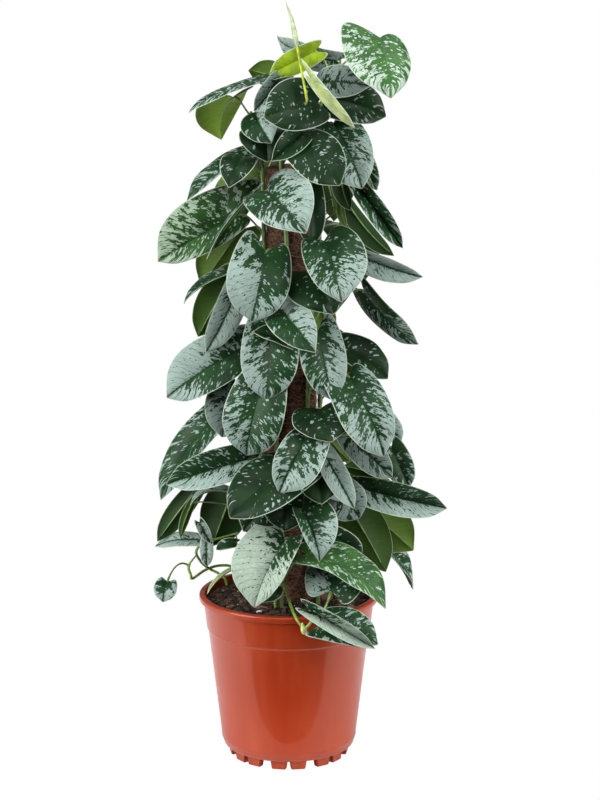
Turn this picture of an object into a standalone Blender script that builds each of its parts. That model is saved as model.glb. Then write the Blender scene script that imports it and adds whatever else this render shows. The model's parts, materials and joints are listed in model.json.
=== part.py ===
"""Scindapsus pictus on a coir pole in a nursery pot, with one object for each separate piece.

Metres, +Z up. The plant's front is towards -Y, and the pot stands on z = 0. Places on the plant are
read off its front elevation, as (across, up, toward) in millimetres: right of the pot's axis, above
the table, and how much nearer to the eye than the upright plane through that axis.
"""

import math
import random
from collections import namedtuple

import bmesh
import bpy
from mathutils import Matrix, Vector, noise
from mathutils.bvhtree import BVHTree

MM = 0.001
GAP = 0.3 * MM  # kept between pieces that touch on the real plant

# Eye that the front elevation is drawn from
EYE = Vector((0.012, -2.5, 0.918))

# Nursery pot, 19 cm across its rolled rim
POT_HEIGHT = 176.6 * MM
RIM_RADIUS = 95.0 * MM
RIM_DROP = 6.5 * MM
MOUTH_RADIUS = 88.5 * MM
BAND_LOW = 139.0 * MM
BAND_STEP = 1.2 * MM
BODY_RADIUS_LOW = 71.4 * MM  # outside, at BODY_LOW
BODY_LOW = 18.0 * MM
BODY_FLARE = 0.1187  # radius gained for each unit of height
WALL = 2.0 * MM
FOOT_HEIGHT = 9.9 * MM
FOOT_PAIRS = 8
FOOT_ARC = math.radians(16.25)
FOOT_SLIT = math.radians(2.75)
FOOT_RADIUS = 64.0 * MM
FOOT_DEPTH = 8.0 * MM
LIP_ROLL = 2.2 * MM
HEEL = 5.0 * MM  # bevel inside, between the floor and the side
DRAIN_RADIUS = 5.0 * MM
DRAIN_CIRCLE = 44.0 * MM
POT_STEPS = 32

# Potting mix, heaped a little round the pole
SOIL_EDGE = POT_HEIGHT - 8.0 * MM
SOIL_HEAP = 6.0 * MM
SOIL_CRUMB = 1.6 * MM
CRUMB_SIZE = 11.0 * MM
SOIL_STEPS = 24
STEM_HOLE_GAP = 0.8 * MM

# Coir pole, 60 cm long, wrapped round a stake
POLE_X = 3.0 * MM
COIR_RADIUS = 27.0 * MM
COIR_LOW = 70.0 * MM
STAKE_RADIUS = 8.0 * MM
STAKE_LOW = 30.0 * MM
POLE_TOP = 632.0 * MM
STAKE_PROUD = 3.0 * MM  # stake above the sleeve

# Climbing stems and leaf stalks
STEM_RADIUS = 2.3 * MM
STALK_RADIUS = 1.2 * MM
ROOT_RADIUS = 42.0 * MM  # where the climbing stems leave the soil, from the pole's axis
ROOT_DEPTH = 30.0 * MM
STEM_FREE = SOIL_EDGE + SOIL_HEAP + 2.0 * MM  # upright up to here
LEAN_HEIGHT = 40.0 * MM
TURN_PITCH = 420.0 * MM
STEM_SIDES = 5
STALK_DROPS = (18, 32, 6, 46)  # mm below its blade that a stalk may leave the stem
STALK_BULGES = (0, 8, -8, 16, -16, 26, -26)  # mm that a stalk may bow aside

# Leaf blades
BLADE = 0.8 * MM
LOBE = 0.85
TIP_START = 0.80  # along the rib, where the outline starts to draw in to its drip tip
TIP_PINCH = 0.55
ROWS = (28, 70, 110, 147)  # degrees from the notch round to the tip
SMALL_ROWS = (40, 90, 140)
SMALL = 30 * MM
CLEAR = 2.4 * MM  # blade thickness that has to pass its neighbours

Climber = namedtuple("Climber", "name bearing swing top")
Leaf = namedtuple("Leaf", "name base tip width roll fold arch face oblique")

# Stems up the pole: bearing from the front in degrees, swing of the stem about it, and its tip
CLIMBERS = (
    Climber("vine_front_left", -20, 12, (17, 700, 22)),
    Climber("vine_front_right", 38, 8, (38, 724, 8)),
    Climber("vine_left", -80, 12, (-38, 686, 2)),
    Climber("vine_right", 95, 10, (52, 668, -10)),
    Climber("vine_back_right", 150, 12, (26, 672, -44)),
    Climber("vine_back_left", -145, 10, (-16, 690, -38)),
)

# Leaves seen from the front: name, base, tip, width (mm), roll, fold (degrees) and arch (mm)
FRONT_LEAVES = (
    ("spire", (19, 698, 60), (0, 798, 14), 14, 0, 80, 2),
    ("lime", (27, 746, 9), (-19, 723, 12), 26, 2, 8, 3),
    ("crown_heart", (93, 760, 35), (105, 701, 88), 69, -21, 4, 6),
    ("half_furled", (23, 719, 46), (68, 669, 58), 14, 25, 12, 3),
    ("crown_dark", (30, 694, 36), (-24, 680, 60), 56, 16, 4, 5),
    ("crown_silver", (34, 714, 14), (83, 712, 42), 36, -18, 8, 8),
    ("crown_right", (40, 699, 8), (100, 681, 20), 49, -22, 11, 8),
    ("crown_behind", (48, 738, -15), (-12, 760, -24), 48, -58, 10, 5),
    ("crown_long", (-22, 719, 4), (-102, 687, 8), 52, 81, 4, 3),
    ("crown_under", (-56, 700, 4), (-70, 659, -22), 62, 135, 15, 8),
    ("crown_scrap", (-3, 714, -12), (-40, 728, -18), 34, 150, 10, 5),
    ("crown_folded", (-11, 716, 22), (-35, 686, 32), 34, -10, 40, 5),
    ("left_ear", (-33, 685, 15), (-17, 653, 54), 48, 16, 14, 8),
    ("left_cup", (-23, 665, 0), (-21, 633, 42), 56, 0, 10, 10),
    ("mid_slip", (15, 665, 28), (-17, 635, 52), 32, 0, 35, 6),
    ("mid_oval", (15, 654, 35), (53, 610, 62), 54, -18, 6, 8),
    ("right_big", (46, 673, 10), (76, 607, 40), 64, -16, 12, 8),
    ("left_round", (-46, 639, 22), (-61, 609, 58), 35, 18, 6, 8),
    ("left_blade", (-39, 640, 4), (-104, 593, 12), 44, 66, 20, 5),
    ("left_back", (-33, 618, -12), (-79, 596, -26), 40, 180, 10, 5),
    ("big_left", (-52, 579, 16), (-135, 531, 25), 60, 8, 20, 10),
    ("edge_left", (-38, 600, 30), (-84, 533, 38), 22, 84, 10, 4),
    ("silver_heart", (-23, 604, 36), (17, 563, 82), 68, -15, 14, 8),
    ("behind_heart", (22, 606, 34), (24, 547, 48), 32, 0, 12, 6),
    ("under_left", (-50, 564, 0), (-90, 506, -10), 54, 180, 10, 6),
    ("slip_left", (-59, 520, 12), (-109, 488, 16), 26, 70, 15, 5),
    ("split_heart", (-23, 540, 56), (-38, 468, 66), 65, -2, 8, 12),
    ("wide_heart", (36, 551, 46), (55, 490, 80), 65, -12, 12, 8),
    ("deep_dark", (24, 520, 36), (47, 478, 70), 70, -14, 4, 6),
    ("lime_scrap", (35, 482, 12), (44, 458, 6), 24, 170, 5, 4),
    ("right_silver", (66, 541, 4), (139, 515, 8), 34, 20, 40, 6),
    ("right_folded", (75, 605, 12), (118, 545, 16), 38, 0, 55, 6),
    ("right_under", (63, 587, 0), (109, 537, 4), 26, 150, 20, 6),
    ("right_narrow", (53, 624, 18), (64, 584, 20), 22, 150, 15, 5),
    ("pale_narrow", (53, 591, 8), (60, 566, 8), 10, 160, 10, 4),
    ("hair_tip", (65, 657, -16), (91, 605, -18), 26, 0, 20, 5),
    ("hanging_twist", (80, 497, 14), (135, 444, 28), 46, 58, 4, 4),
    ("left_long", (-52, 508, 20), (-86, 436, 31), 34, -18, 16, 8),
    ("left_green", (-59, 512, 0), (-94, 452, 0), 42, 165, 10, 6),
    ("silver_wing", (-50, 437, 26), (-127, 387, 32), 58, 14, 14, 14),
    ("centre_split", (-19, 461, 40), (-23, 385, 52), 60, -4, 10, 8),
    ("red_tip", (-8, 481, 34), (27, 437, 72), 46, -4, 16, 8),
    ("dark_flap", (8, 442, 40), (-37, 457, 58), 26, 40, 20, 5),
    ("centre_right", (31, 459, 38), (45, 385, 56), 48, 0, 12, 8),
    ("right_dark", (58, 441, 10), (104, 408, 16), 42, -34, 16, 4),
    ("right_large", (64, 408, 44), (100, 324, 66), 61, -20, 14, 10),
    ("speckled", (-28, 398, 60), (-45, 324, 68), 64, 10, 8, 8),
    ("grey_behind", (-53, 401, 14), (-70, 345, 26), 56, 0, 10, 6),
    ("notch_dark", (33, 375, 48), (45, 340, 82), 66, -10, 4, 5),
    ("fine_fleck", (17, 343, 66), (-10, 285, 84), 52, 4, 20, 8),
    ("long_left", (-70, 372, 14), (-136, 277, 20), 44, 40, 12, 10),
    ("folded_left", (-44, 321, 30), (-129, 294, 40), 47, 4, 36, 8),
    ("big_dark", (6, 312, 44), (-62, 258, 68), 71, 36, 2, 8),
    ("slip_right", (39, 325, 40), (69, 268, 50), 28, 0, 25, 5),
    ("slip_inner", (31, 318, 34), (57, 275, 42), 26, 0, 20, 5),
    ("grey_right", (66, 344, 28), (109, 301, 40), 34, 0, 15, 6),
    ("far_right", (108, 333, 4), (127, 290, 6), 32, 0, 15, 6),
    ("pale_edge", (93, 372, 0), (118, 340, 0), 26, 0, 10, 5),
    ("under_yellow", (43, 342, 10), (64, 319, 10), 22, 170, 5, 4),
    ("dark_bar", (104, 301, 4), (57, 314, 6), 24, 160, 15, 4),
    ("right_folded_low", (82, 288, 16), (167, 268, 18), 50, 6, 46, 6),
    ("right_green", (69, 277, 4), (132, 222, 0), 58, 190, 8, 8),
    ("right_green_front", (65, 268, 16), (103, 199, 18), 52, 185, 14, 8),
    ("left_dark_under", (-102, 283, 0), (-139, 232, 2), 26, 175, 15, 6),
    ("silver_edge", (-62, 286, 22), (-104, 272, 24), 22, 68, 20, 8),
    ("left_dark_mass", (-62, 279, 6), (-81, 227, 0), 52, 180, 10, 6),
    ("thin_green", (-102, 274, 6), (-115, 235, 8), 11, 160, 10, 4),
    ("pale_giant", (-4, 233, 64), (-37, 159, 98), 70, 28, 24, 8),
    ("small_heart", (14, 265, 60), (33, 211, 94), 48, -20, 34, 8),
    ("under_dark_a", (-20, 277, 42), (-48, 243, 60), 42, 0, 8, 6),
    ("under_dark_b", (-2, 279, 38), (-4, 243, 62), 50, 0, 8, 6),
    ("grey_star", (52, 288, 34), (75, 257, 46), 44, 0, 10, 6),
    ("dark_inner", (31, 309, 28), (35, 272, 56), 46, 0, 8, 6),
    ("long_front", (21, 216, 60), (104, 160, 70), 59, -52, 14, 14),
    ("long_shadow", (44, 240, 44), (78, 218, 42), 26, 0, 15, 6),
    ("low_round", (45, 177, 88), (58, 202, 50), 64, -20, 6, 6),
    ("rim_folded", (25, 154, 106), (92, 113, 114), 40, 0, 62, 5),
    ("rim_behind", (36, 139, 93), (95, 118, 94), 48, -35, 12, 8),
    ("tiny_heart", (-129, 187, 16), (-134, 165, 25), 25, 5, 8, 6),
    ("small_silver", (-94, 233, 14), (-142, 226, 20), 22, 45, 6, 5),
    ("tiny_flecked", (-87, 232, 8), (-87, 204, 14), 15, 0, 10, 3),
    ("tiny_folded", (-94, 252, 6), (-83, 230, 12), 13, 0, 20, 3),
    ("tiny_green", (-56, 230, 8), (-77, 223, 8), 13, 20, 15, 5),
    ("pale_sheath", (-56, 203, 44), (-87, 174, 68), 8, 60, 30, 4),
    ("low_grey", (-18, 185, 58), (-29, 165, 74), 30, 0, 8, 6),
)

# Leaves whose two halves differ: how much wider the half on side 1 is than the mean
OBLIQUE = {
    "crown_heart": 0.28, "crown_dark": 0.10, "half_furled": -0.18, "left_ear": -0.20,
    "right_big": 0.20, "big_left": 0.28, "silver_heart": -0.08, "split_heart": 0.08,
    "wide_heart": -0.14, "silver_wing": 0.09, "right_large": 0.16, "fine_fleck": -0.20,
    "pale_giant": 0.15, "small_heart": -0.25, "long_front": 0.06, "mid_oval": 0.05,
}
BACK_OBLIQUE = 0.12

# Shoots that hang out over the rim: stems as lists of places, each with its radius
FRONT_SHOOT = (
    (
        (-14, 140, 44), (-14, 175, 44), (-10, 190, 46), (-3, 178, 56),
        (1, 164, 74), (5, 153, 91), (10, 143, 100), (16, 134, 102),
    ),
    ((16, 134, 102), (22, 140, 104), (27, 147, 104), (33, 149, 103)),
)
LEFT_SHOOT = (
    (
        (-66, 150, -42), (-66, 186, -42), (-74, 196, -45), (-83, 201, -46), (-92, 208, -38),
        (-98, 219, -24), (-94, 227, -16), (-87, 231, -10), (-71, 236, -6), (-54, 241, -2),
    ),
    (
        (-50, 165, -56), (-50, 194, -56), (-60, 204, -58), (-75, 205, -56), (-89, 200, -46),
        (-102, 191, -26), (-104, 195, -24), (-106, 205, -22), (-97, 218, -23),
    ),
)
SHOOT_RADIUS = 1.5 * MM
SHOOT_LEAVES = {
    "shoot_front": ("long_front", "low_round", "rim_folded", "rim_behind"),
    "shoot_left": ("tiny_heart", "small_silver", "tiny_flecked", "tiny_folded", "tiny_green"),
}

# Leaves on the far side, set out by a rule
BACK_LEAVES = 23
BACK_LOW = 215.0 * MM
BACK_HIGH = 690.0 * MM
BACK_SPREAD = math.radians(78)
GOLDEN_TURN = math.radians(137.5)
SEED = 11

# Moves that a leaf may make to pass its neighbours
PUSH = 1.5 * MM
PUSHES = 25
OWN_PUSH = 30.0 * MM  # past this, it may cross a leaf of its own stem


def sight(across, up, toward):
    """The place that the front view shows at (across, up), brought toward the eye."""
    on_plane = Vector((across * MM, 0.0, up * MM))
    return on_plane.lerp(EYE, toward * MM / -EYE.y)


def material(name, colour, roughness):
    made = bpy.data.materials.new(name)
    made.diffuse_color = (*colour, 1.0)
    made.use_nodes = True
    shader = made.node_tree.nodes["Principled BSDF"]
    shader.inputs["Base Color"].default_value = (*colour, 1.0)
    shader.inputs["Roughness"].default_value = roughness
    shader.inputs["Metallic"].default_value = 0.0
    return made


def collection(name):
    made = bpy.data.collections.new(name)
    bpy.context.scene.collection.children.link(made)
    return made


def add_object(name, mesh, home, finish=None):
    obj = bpy.data.objects.new(name, mesh)
    if finish is not None:
        mesh.materials.clear()
        mesh.materials.append(finish)
    home.objects.link(obj)
    return obj


def mesh_of(name, bm):
    mesh = bpy.data.meshes.new(name)
    bm.to_mesh(mesh)
    bm.free()
    return mesh


def evaluated_mesh(obj):
    bpy.context.view_layer.update()
    graph = bpy.context.evaluated_depsgraph_get()
    return bpy.data.meshes.new_from_object(obj.evaluated_get(graph))


def apply_modifiers(obj):
    mesh = evaluated_mesh(obj)
    obj.modifiers.clear()
    obj.data = mesh
    return obj


def combine(body, pieces, operation, solver="EXACT"):
    """One Boolean of the body with a collection of pieces, applied, with the pieces then removed."""
    boolean = body.modifiers.new("combine", "BOOLEAN")
    boolean.operand_type = "COLLECTION"
    boolean.collection = pieces
    boolean.operation = operation
    boolean.solver = solver
    apply_modifiers(body)
    for piece in list(pieces.objects):
        bpy.data.objects.remove(piece)
    bpy.data.collections.remove(pieces)
    return body


def turned(name, profile, home, finish, steps):
    """A profile of (radius, height) turned round the pot's axis, outer side from top to bottom."""
    bm = bmesh.new()
    points = [bm.verts.new((radius, 0.0, height)) for radius, height in profile]
    for first, second in zip(points, points[1:]):
        bm.edges.new((first, second))
    obj = add_object(name, mesh_of(name, bm), home, finish)
    screw = obj.modifiers.new("turn", "SCREW")
    screw.steps = screw.render_steps = steps
    screw.use_merge_vertices = True
    screw.merge_threshold = 0.01 * MM
    return apply_modifiers(obj)


def rod(name, low, high, radius, home, sides=24, across=0.0, back=0.0):
    """An upright round bar from low to high."""
    bm = bmesh.new()
    bmesh.ops.create_cone(
        bm, cap_ends=True, segments=sides, radius1=radius, radius2=radius, depth=high - low
    )
    bmesh.ops.translate(bm, verts=bm.verts, vec=(across, back, (low + high) / 2))
    return add_object(name, mesh_of(name, bm), home)


def body_radius(height):
    """Outside radius of the pot's plain side at a height."""
    return BODY_RADIUS_LOW + BODY_FLARE * (height - BODY_LOW)


def lip_roll(count=3):
    """Points of the rim's rounded top, from its crest out to its side."""
    for step in range(count + 1):
        angle = math.pi / 2 * (1 - step / count)
        out = RIM_RADIUS - LIP_ROLL + LIP_ROLL * math.cos(angle)
        yield out, POT_HEIGHT - LIP_ROLL + LIP_ROLL * math.sin(angle)


def make_pot(home):
    """Moulded pot: rolled rim, stepped band, tapering side, eight pairs of feet and drain holes."""
    floor = FOOT_HEIGHT + WALL
    lip = POT_HEIGHT - RIM_DROP
    profile = [
        (0.0, floor),
        (body_radius(floor) - WALL - HEEL, floor),
        (body_radius(floor + HEEL) - WALL, floor + HEEL),
        (body_radius(BAND_LOW) - WALL, BAND_LOW),
        (MOUTH_RADIUS - 1.0 * MM, lip - 2.0 * MM),
        (MOUTH_RADIUS, POT_HEIGHT - 0.8 * MM),
        (MOUTH_RADIUS + 0.8 * MM, POT_HEIGHT),
        *lip_roll(),
        (RIM_RADIUS - 0.4 * MM, lip),
        (body_radius(lip) + BAND_STEP, lip),
        (body_radius(BAND_LOW) + BAND_STEP, BAND_LOW + BAND_STEP),
        (body_radius(BAND_LOW), BAND_LOW),
        (body_radius(BODY_LOW), BODY_LOW),
        (body_radius(BODY_LOW) - 1.6 * MM, FOOT_HEIGHT + 3.0 * MM),
        (body_radius(BODY_LOW) - 5.0 * MM, FOOT_HEIGHT),
        (0.0, FOOT_HEIGHT),
    ]
    plastic = material("terracotta_plastic", (0.47, 0.09, 0.045), 0.35)
    pot = turned("pot", profile, home, plastic, POT_STEPS)
    feet = collection("feet")
    for pair in range(FOOT_PAIRS):
        for side in (-1, 1):
            turn = 2 * math.pi * pair / FOOT_PAIRS + side * (FOOT_ARC + FOOT_SLIT) / 2
            make_foot(feet, turn)
    combine(pot, feet, "UNION")
    drains = collection("drains")
    for hole in range(FOOT_PAIRS):
        turn = 2 * math.pi * (hole + 0.5) / FOOT_PAIRS
        across, back = DRAIN_CIRCLE * math.cos(turn), DRAIN_CIRCLE * math.sin(turn)
        rod("drain", 0.0, 2 * floor, DRAIN_RADIUS, drains, 6, across, back)
    return combine(pot, drains, "DIFFERENCE")


def make_foot(home, turn):
    """One block under the pot, narrower where it stands."""
    sunk = 1.2 * MM
    bm = bmesh.new()
    bmesh.ops.create_cube(bm, size=1.0)
    width = 2 * FOOT_RADIUS * math.sin(FOOT_ARC / 2)
    size = (FOOT_DEPTH, width, FOOT_HEIGHT + sunk)
    bmesh.ops.scale(bm, verts=bm.verts, vec=size)
    standing = [vert for vert in bm.verts if vert.co.z < 0]
    bmesh.ops.scale(bm, verts=standing, vec=(0.8, 0.82, 1.0))
    bmesh.ops.translate(bm, verts=bm.verts, vec=(FOOT_RADIUS - FOOT_DEPTH / 2, 0.0, size[2] / 2))
    bmesh.ops.rotate(bm, verts=bm.verts, matrix=Matrix.Rotation(turn - math.pi / 2, 3, "Z"))
    return add_object("foot", mesh_of("foot", bm), home)


def soil_height(radius):
    """Height of the heaped potting mix."""
    return SOIL_EDGE + SOIL_HEAP * (0.5 + 0.5 * math.cos(math.pi * min(1.0, radius / MOUTH_RADIUS)))


def make_soil(home, roots):
    """Potting mix that fills the pot, with plain holes for the pole and for each stem."""
    low = FOOT_HEIGHT + WALL + GAP
    inner = WALL + GAP
    ring = 9.0 * MM
    edge = body_radius(SOIL_EDGE) - inner - 0.6 * MM
    surface = [(share * edge, soil_height(share * edge)) for share in (0.0, 0.35, 0.6, 0.82, 1.0)]
    profile = [
        *surface,
        (body_radius(BAND_LOW) - inner - 0.4 * MM, BAND_LOW),
        (body_radius(low + ring) - inner - 1.0 * MM, low + ring),
        (body_radius(low) - inner - ring, low),
        (0.0, low),
    ]
    earth = material("potting_mix", (0.045, 0.026, 0.016), 0.95)
    soil = turned("soil", profile, home, earth, SOIL_STEPS)
    for vert in soil.data.vertices:
        radius = vert.co.xy.length
        if vert.co.z > BAND_LOW + 5 * MM and radius < edge - 1 * MM:
            vert.co.z += SOIL_CRUMB * noise.noise(vert.co / CRUMB_SIZE)
    holes = collection("holes")
    rod("pole_hole", STAKE_LOW - GAP, POLE_TOP, STAKE_RADIUS + GAP, holes, 24, POLE_X)
    combine(soil, holes, "DIFFERENCE")
    holes = collection("holes")
    rod("sleeve_hole", COIR_LOW - GAP, POLE_TOP, COIR_RADIUS + GAP, holes, 24, POLE_X)
    for place, radius in roots:
        rod("stem_hole", place.z - GAP, POLE_TOP, radius + STEM_HOLE_GAP, holes, 10, place.x, place.y)
    return combine(soil, holes, "DIFFERENCE")


def make_pole(home):
    """Coir sleeve round a stiff stake, which reaches lower into the pot than the sleeve does."""
    wood = material("stake_wood", (0.30, 0.19, 0.10), 0.7)
    fibre = material("coir_fibre", (0.16, 0.065, 0.028), 0.95)
    stake = rod("pole_stake", STAKE_LOW, POLE_TOP, STAKE_RADIUS, home, 16, POLE_X)
    stake.data.materials.append(wood)
    coir = rod("pole_coir", COIR_LOW, POLE_TOP - STAKE_PROUD, COIR_RADIUS, home, 24, POLE_X)
    coir.data.materials.append(fibre)
    bore = collection("bore")
    rod("bore", STAKE_LOW, POLE_TOP, STAKE_RADIUS + GAP, bore, 16, POLE_X)
    combine(coir, bore, "DIFFERENCE")
    return coir


def smooth_path(points, between=3):
    """A smooth curve through the points, as a list of places."""
    ends = [points[0] * 2 - points[1], *points, points[-1] * 2 - points[-2]]
    path = []
    for before, start, stop, after in zip(ends, ends[1:], ends[2:], ends[3:]):
        bend = 2 * before - 5 * start + 4 * stop - after
        twist = 3 * start - 3 * stop + after - before
        for step in range(between):
            t = step / between
            path.append(start + 0.5 * ((stop - before) * t + bend * t**2 + twist * t**3))
    return [*path, points[-1]]


def stem_place(climber, height):
    """Centre of a climbing stem at a height, hugging the pole and leaving its top for the tip."""
    hug = COIR_RADIUS + 2 * GAP + STEM_RADIUS
    above = max(height, STEM_FREE)
    swing = climber.swing * math.sin(2 * math.pi * above / TURN_PITCH)
    turn = math.radians(climber.bearing + swing)
    lean = min(1.0, (above - STEM_FREE) / LEAN_HEIGHT)
    radius = ROOT_RADIUS + (hug - ROOT_RADIUS) * (3 * lean**2 - 2 * lean**3)
    place = Vector((POLE_X + radius * math.sin(turn), -radius * math.cos(turn), height))
    tip = sight(*climber.top)
    free = (height - POLE_TOP) / (tip.z - POLE_TOP)
    if free > 0.0:
        ease = free * free * (3 - 2 * free)
        place.x += (tip.x - place.x) * ease
        place.y += (tip.y - place.y) * ease
    return place


def climber_path(climber):
    tip = sight(*climber.top)
    ends = (SOIL_EDGE - ROOT_DEPTH, STEM_FREE, STEM_FREE + LEAN_HEIGHT, POLE_TOP, tip.z)
    heights = [ends[0]]
    for low, high, steps in zip(ends, ends[1:], (1, 3, 7, 3)):
        heights += [low + (high - low) * (step + 1) / steps for step in range(steps)]
    return [stem_place(climber, height) for height in heights]


def section(sides):
    """A small cyclic polygon, the section of a slim bar."""
    curve = bpy.data.curves.new("section", "CURVE")
    spline = curve.splines.new("POLY")
    spline.points.add(sides - 1)
    for index, point in enumerate(spline.points):
        angle = 2 * math.pi * index / sides
        point.co = (math.cos(angle), math.sin(angle), 0.0, 1.0)
    spline.use_cyclic_u = True
    return curve


def tube_mesh(name, path, radii, sides):
    """A bar along a path: a bevelled curve made a mesh, with its end caps welded."""
    curve = bpy.data.curves.new(name, "CURVE")
    curve.dimensions = "3D"
    profile = bpy.data.objects.new("section", section(sides))
    curve.bevel_mode = "OBJECT"
    curve.bevel_object = profile
    curve.use_fill_caps = True
    spline = curve.splines.new("POLY")
    spline.points.add(len(path) - 1)
    for point, place, radius in zip(spline.points, path, radii):
        point.co = (*place, 1.0)
        point.radius = radius
    obj = bpy.data.objects.new(name, curve)
    bpy.context.scene.collection.objects.link(obj)
    mesh = evaluated_mesh(obj)
    bpy.data.objects.remove(obj)
    bpy.data.objects.remove(profile)
    bm = bmesh.new()
    bm.from_mesh(mesh)
    bmesh.ops.remove_doubles(bm, verts=bm.verts, dist=0.001 * MM)
    bmesh.ops.recalc_face_normals(bm, faces=bm.faces)
    return mesh_of(name, bm)


def leaf_axes(leaf):
    """Unit vectors across the blade, along it and out of its upper face."""
    along = (leaf.tip - leaf.base).normalized()
    look = leaf.face
    if look is None:
        look = EYE - (leaf.base + leaf.tip) / 2
    up = (look - along * look.dot(along)).normalized()
    up = Matrix.Rotation(math.radians(leaf.roll), 3, along) @ up
    return along.cross(up), along, up


def blade_place(leaf, axes, turn, side):
    """A place on the blade: turn runs from the notch, 0, round to the tip, pi; side from -1 to 1."""
    across, along, up = axes
    length = (leaf.tip - leaf.base).length
    rib = math.sin(turn / 2) ** 2
    pinch = 1 - TIP_PINCH * max(0.0, (rib - TIP_START) / (1 - TIP_START)) ** 2
    half = leaf.width / 2 * math.sin(turn) ** 0.82 * math.cos(turn / 2) ** 0.38 / 0.89 * pinch
    lobe = LOBE * math.sin(turn) * math.cos(turn / 2) ** 12
    skew = 1 + leaf.oblique * side
    x = side * half * skew
    q = rib - lobe * abs(side) * skew**2
    fold = math.radians(leaf.fold)
    lift = abs(x) * math.sin(fold) + leaf.arch * 4 * q * (1 - q)
    return leaf.base + across * (x * math.cos(fold)) + along * (q * length) + up * lift


def blade_rows(leaf, turns, columns):
    """Rows of places over the blade, the notch first and the tip last."""
    axes = leaf_axes(leaf)
    sides = [step / columns for step in range(-columns, columns + 1)]
    rows = [[blade_place(leaf, axes, turn, side) for side in sides] for turn in turns]
    return [[leaf.base], *rows, [leaf.tip]]


def blade_solid(leaf, thickness, columns=1):
    """Closed blade of even thickness, split into the same triangles on both faces."""
    turns = [math.radians(row) for row in (SMALL_ROWS if leaf.width < SMALL else ROWS)]
    rows = blade_rows(leaf, turns, columns)
    places = [place for row in rows for place in row]
    starts = [sum(len(row) for row in rows[:index]) for index in range(len(rows))]
    last = len(rows) - 1
    top = []
    for step in range(2 * columns):
        top.append((0, starts[1] + step + 1, starts[1] + step))
        for row in range(1, last - 1):
            a = starts[row] + step
            b = starts[row + 1] + step
            if step < columns:
                top += [(a, a + 1, b), (a + 1, b + 1, b)]
            else:
                top += [(a, a + 1, b + 1), (a, b + 1, b)]
        top.append((starts[last - 1] + step, starts[last - 1] + step + 1, starts[last]))
    normals = [Vector() for _ in places]
    for a, b, c in top:
        facing = (places[b] - places[a]).cross(places[c] - places[a])
        for index in (a, b, c):
            normals[index] += facing
    right = [starts[row] + 2 * columns for row in range(1, last)]
    left = [starts[row] for row in range(1, last)]
    edge = [0, *right, starts[last], *reversed(left)]
    count = len(places)
    bm = bmesh.new()
    shifts = [normal.normalized() * (thickness / 2) for normal in normals]
    verts = [bm.verts.new(place + shift) for place, shift in zip(places, shifts)]
    verts += [bm.verts.new(place - shift) for place, shift in zip(places, shifts)]
    for face in top:
        bm.faces.new([verts[index] for index in face])
        bm.faces.new([verts[index + count] for index in reversed(face)])
    for a, b in zip(edge, [*edge[1:], edge[0]]):
        bm.faces.new((verts[a], verts[a + count], verts[b + count]))
        bm.faces.new((verts[a], verts[b + count], verts[b]))
    return bm


def stalk_path(start, leaf, axes, bulge, outward):
    """Leaf stalk: out of the stem, over to the notch from behind, and on along the rib."""
    across, along, up = axes
    reach = (leaf.base - start).length
    aside = outward.cross(Vector((0, 0, 1)))
    hook = min(1.0, leaf.width / (50 * MM))
    first = start + (outward * 0.30 + Vector((0, 0, 0.25))) * reach + aside * bulge
    second = leaf.base - (up * 9 + along * 11) * MM * hook + aside * (bulge / 2)
    path = []
    for step in range(4):
        t = step / 3
        bowed = first * (3 * t * (1 - t) ** 2) + second * (3 * t**2 * (1 - t))
        path.append(start * (1 - t) ** 3 + bowed + leaf.base * t**3)
    path[-1] = leaf.base - up * STALK_RADIUS
    return [*path, blade_place(leaf, axes, math.radians(40), 0.0) - up * (0.7 * STALK_RADIUS)]


def ribbon_tree(path, reach):
    """Two crossed strips along a path, to find what comes within reach of it."""
    verts, faces = [], []
    for lean in (0, 1):
        base = len(verts)
        for index, place in enumerate(path):
            ahead = path[min(index + 1, len(path) - 1)] - path[max(index - 1, 0)]
            side = ahead.orthogonal().normalized()
            if lean:
                side = ahead.normalized().cross(side)
            verts += [place + side * reach, place - side * reach]
        for index in range(len(path) - 1):
            a = base + 2 * index
            faces += [(a, a + 1, a + 3), (a, a + 3, a + 2)]
    return BVHTree.FromPolygons(verts, faces)


class Clearance:
    """Remembers what stands where, so that each new leaf can pass it by."""

    def __init__(self):
        self.items = []

    def add(self, owner, kind, tree, places):
        low = Vector([min(place[axis] for place in places) for axis in range(3)])
        high = Vector([max(place[axis] for place in places) for axis in range(3)])
        centre = (low + high) / 2
        self.items.append((owner, kind, tree, centre, (high - low).length / 2))

    def met(self, tree, places, skip=()):
        """Owners of the things that a shape would cross."""
        low = Vector([min(place[axis] for place in places) for axis in range(3)])
        high = Vector([max(place[axis] for place in places) for axis in range(3)])
        centre, reach = (low + high) / 2, (high - low).length / 2
        found = set()
        for owner, kind, other, middle, extent in self.items:
            if (owner, kind) in skip or (middle - centre).length > reach + extent:
                continue
            if tree.overlap(other):
                found.add(owner)
        return found


def stalk_starts(owner, stems, leaf):
    """Places on a stem that the leaf's stalk can leave from, the likeliest first."""
    climber = stems[owner]
    if isinstance(climber, Climber):
        top = sight(*climber.top).z - STEM_RADIUS
        for drop in STALK_DROPS:
            height = max(SOIL_EDGE + 15 * MM, min(top, leaf.base.z - drop * MM))
            yield stem_place(climber, height)
    else:
        above = [place for path in climber for place in path[3:]]
        yield min(above, key=lambda place: (place - leaf.base).length)


def owners_by_distance(leaf, stems):
    """The stems that the leaf may belong to, the nearest first."""
    for shoot, names in SHOOT_LEAVES.items():
        if leaf.name in names:
            return [shoot]

    def distance(name):
        return (next(stalk_starts(name, stems, leaf)) - leaf.base).length

    climbers = [name for name, stem in stems.items() if isinstance(stem, Climber)]
    return sorted(climbers, key=distance)[:4]


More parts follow.
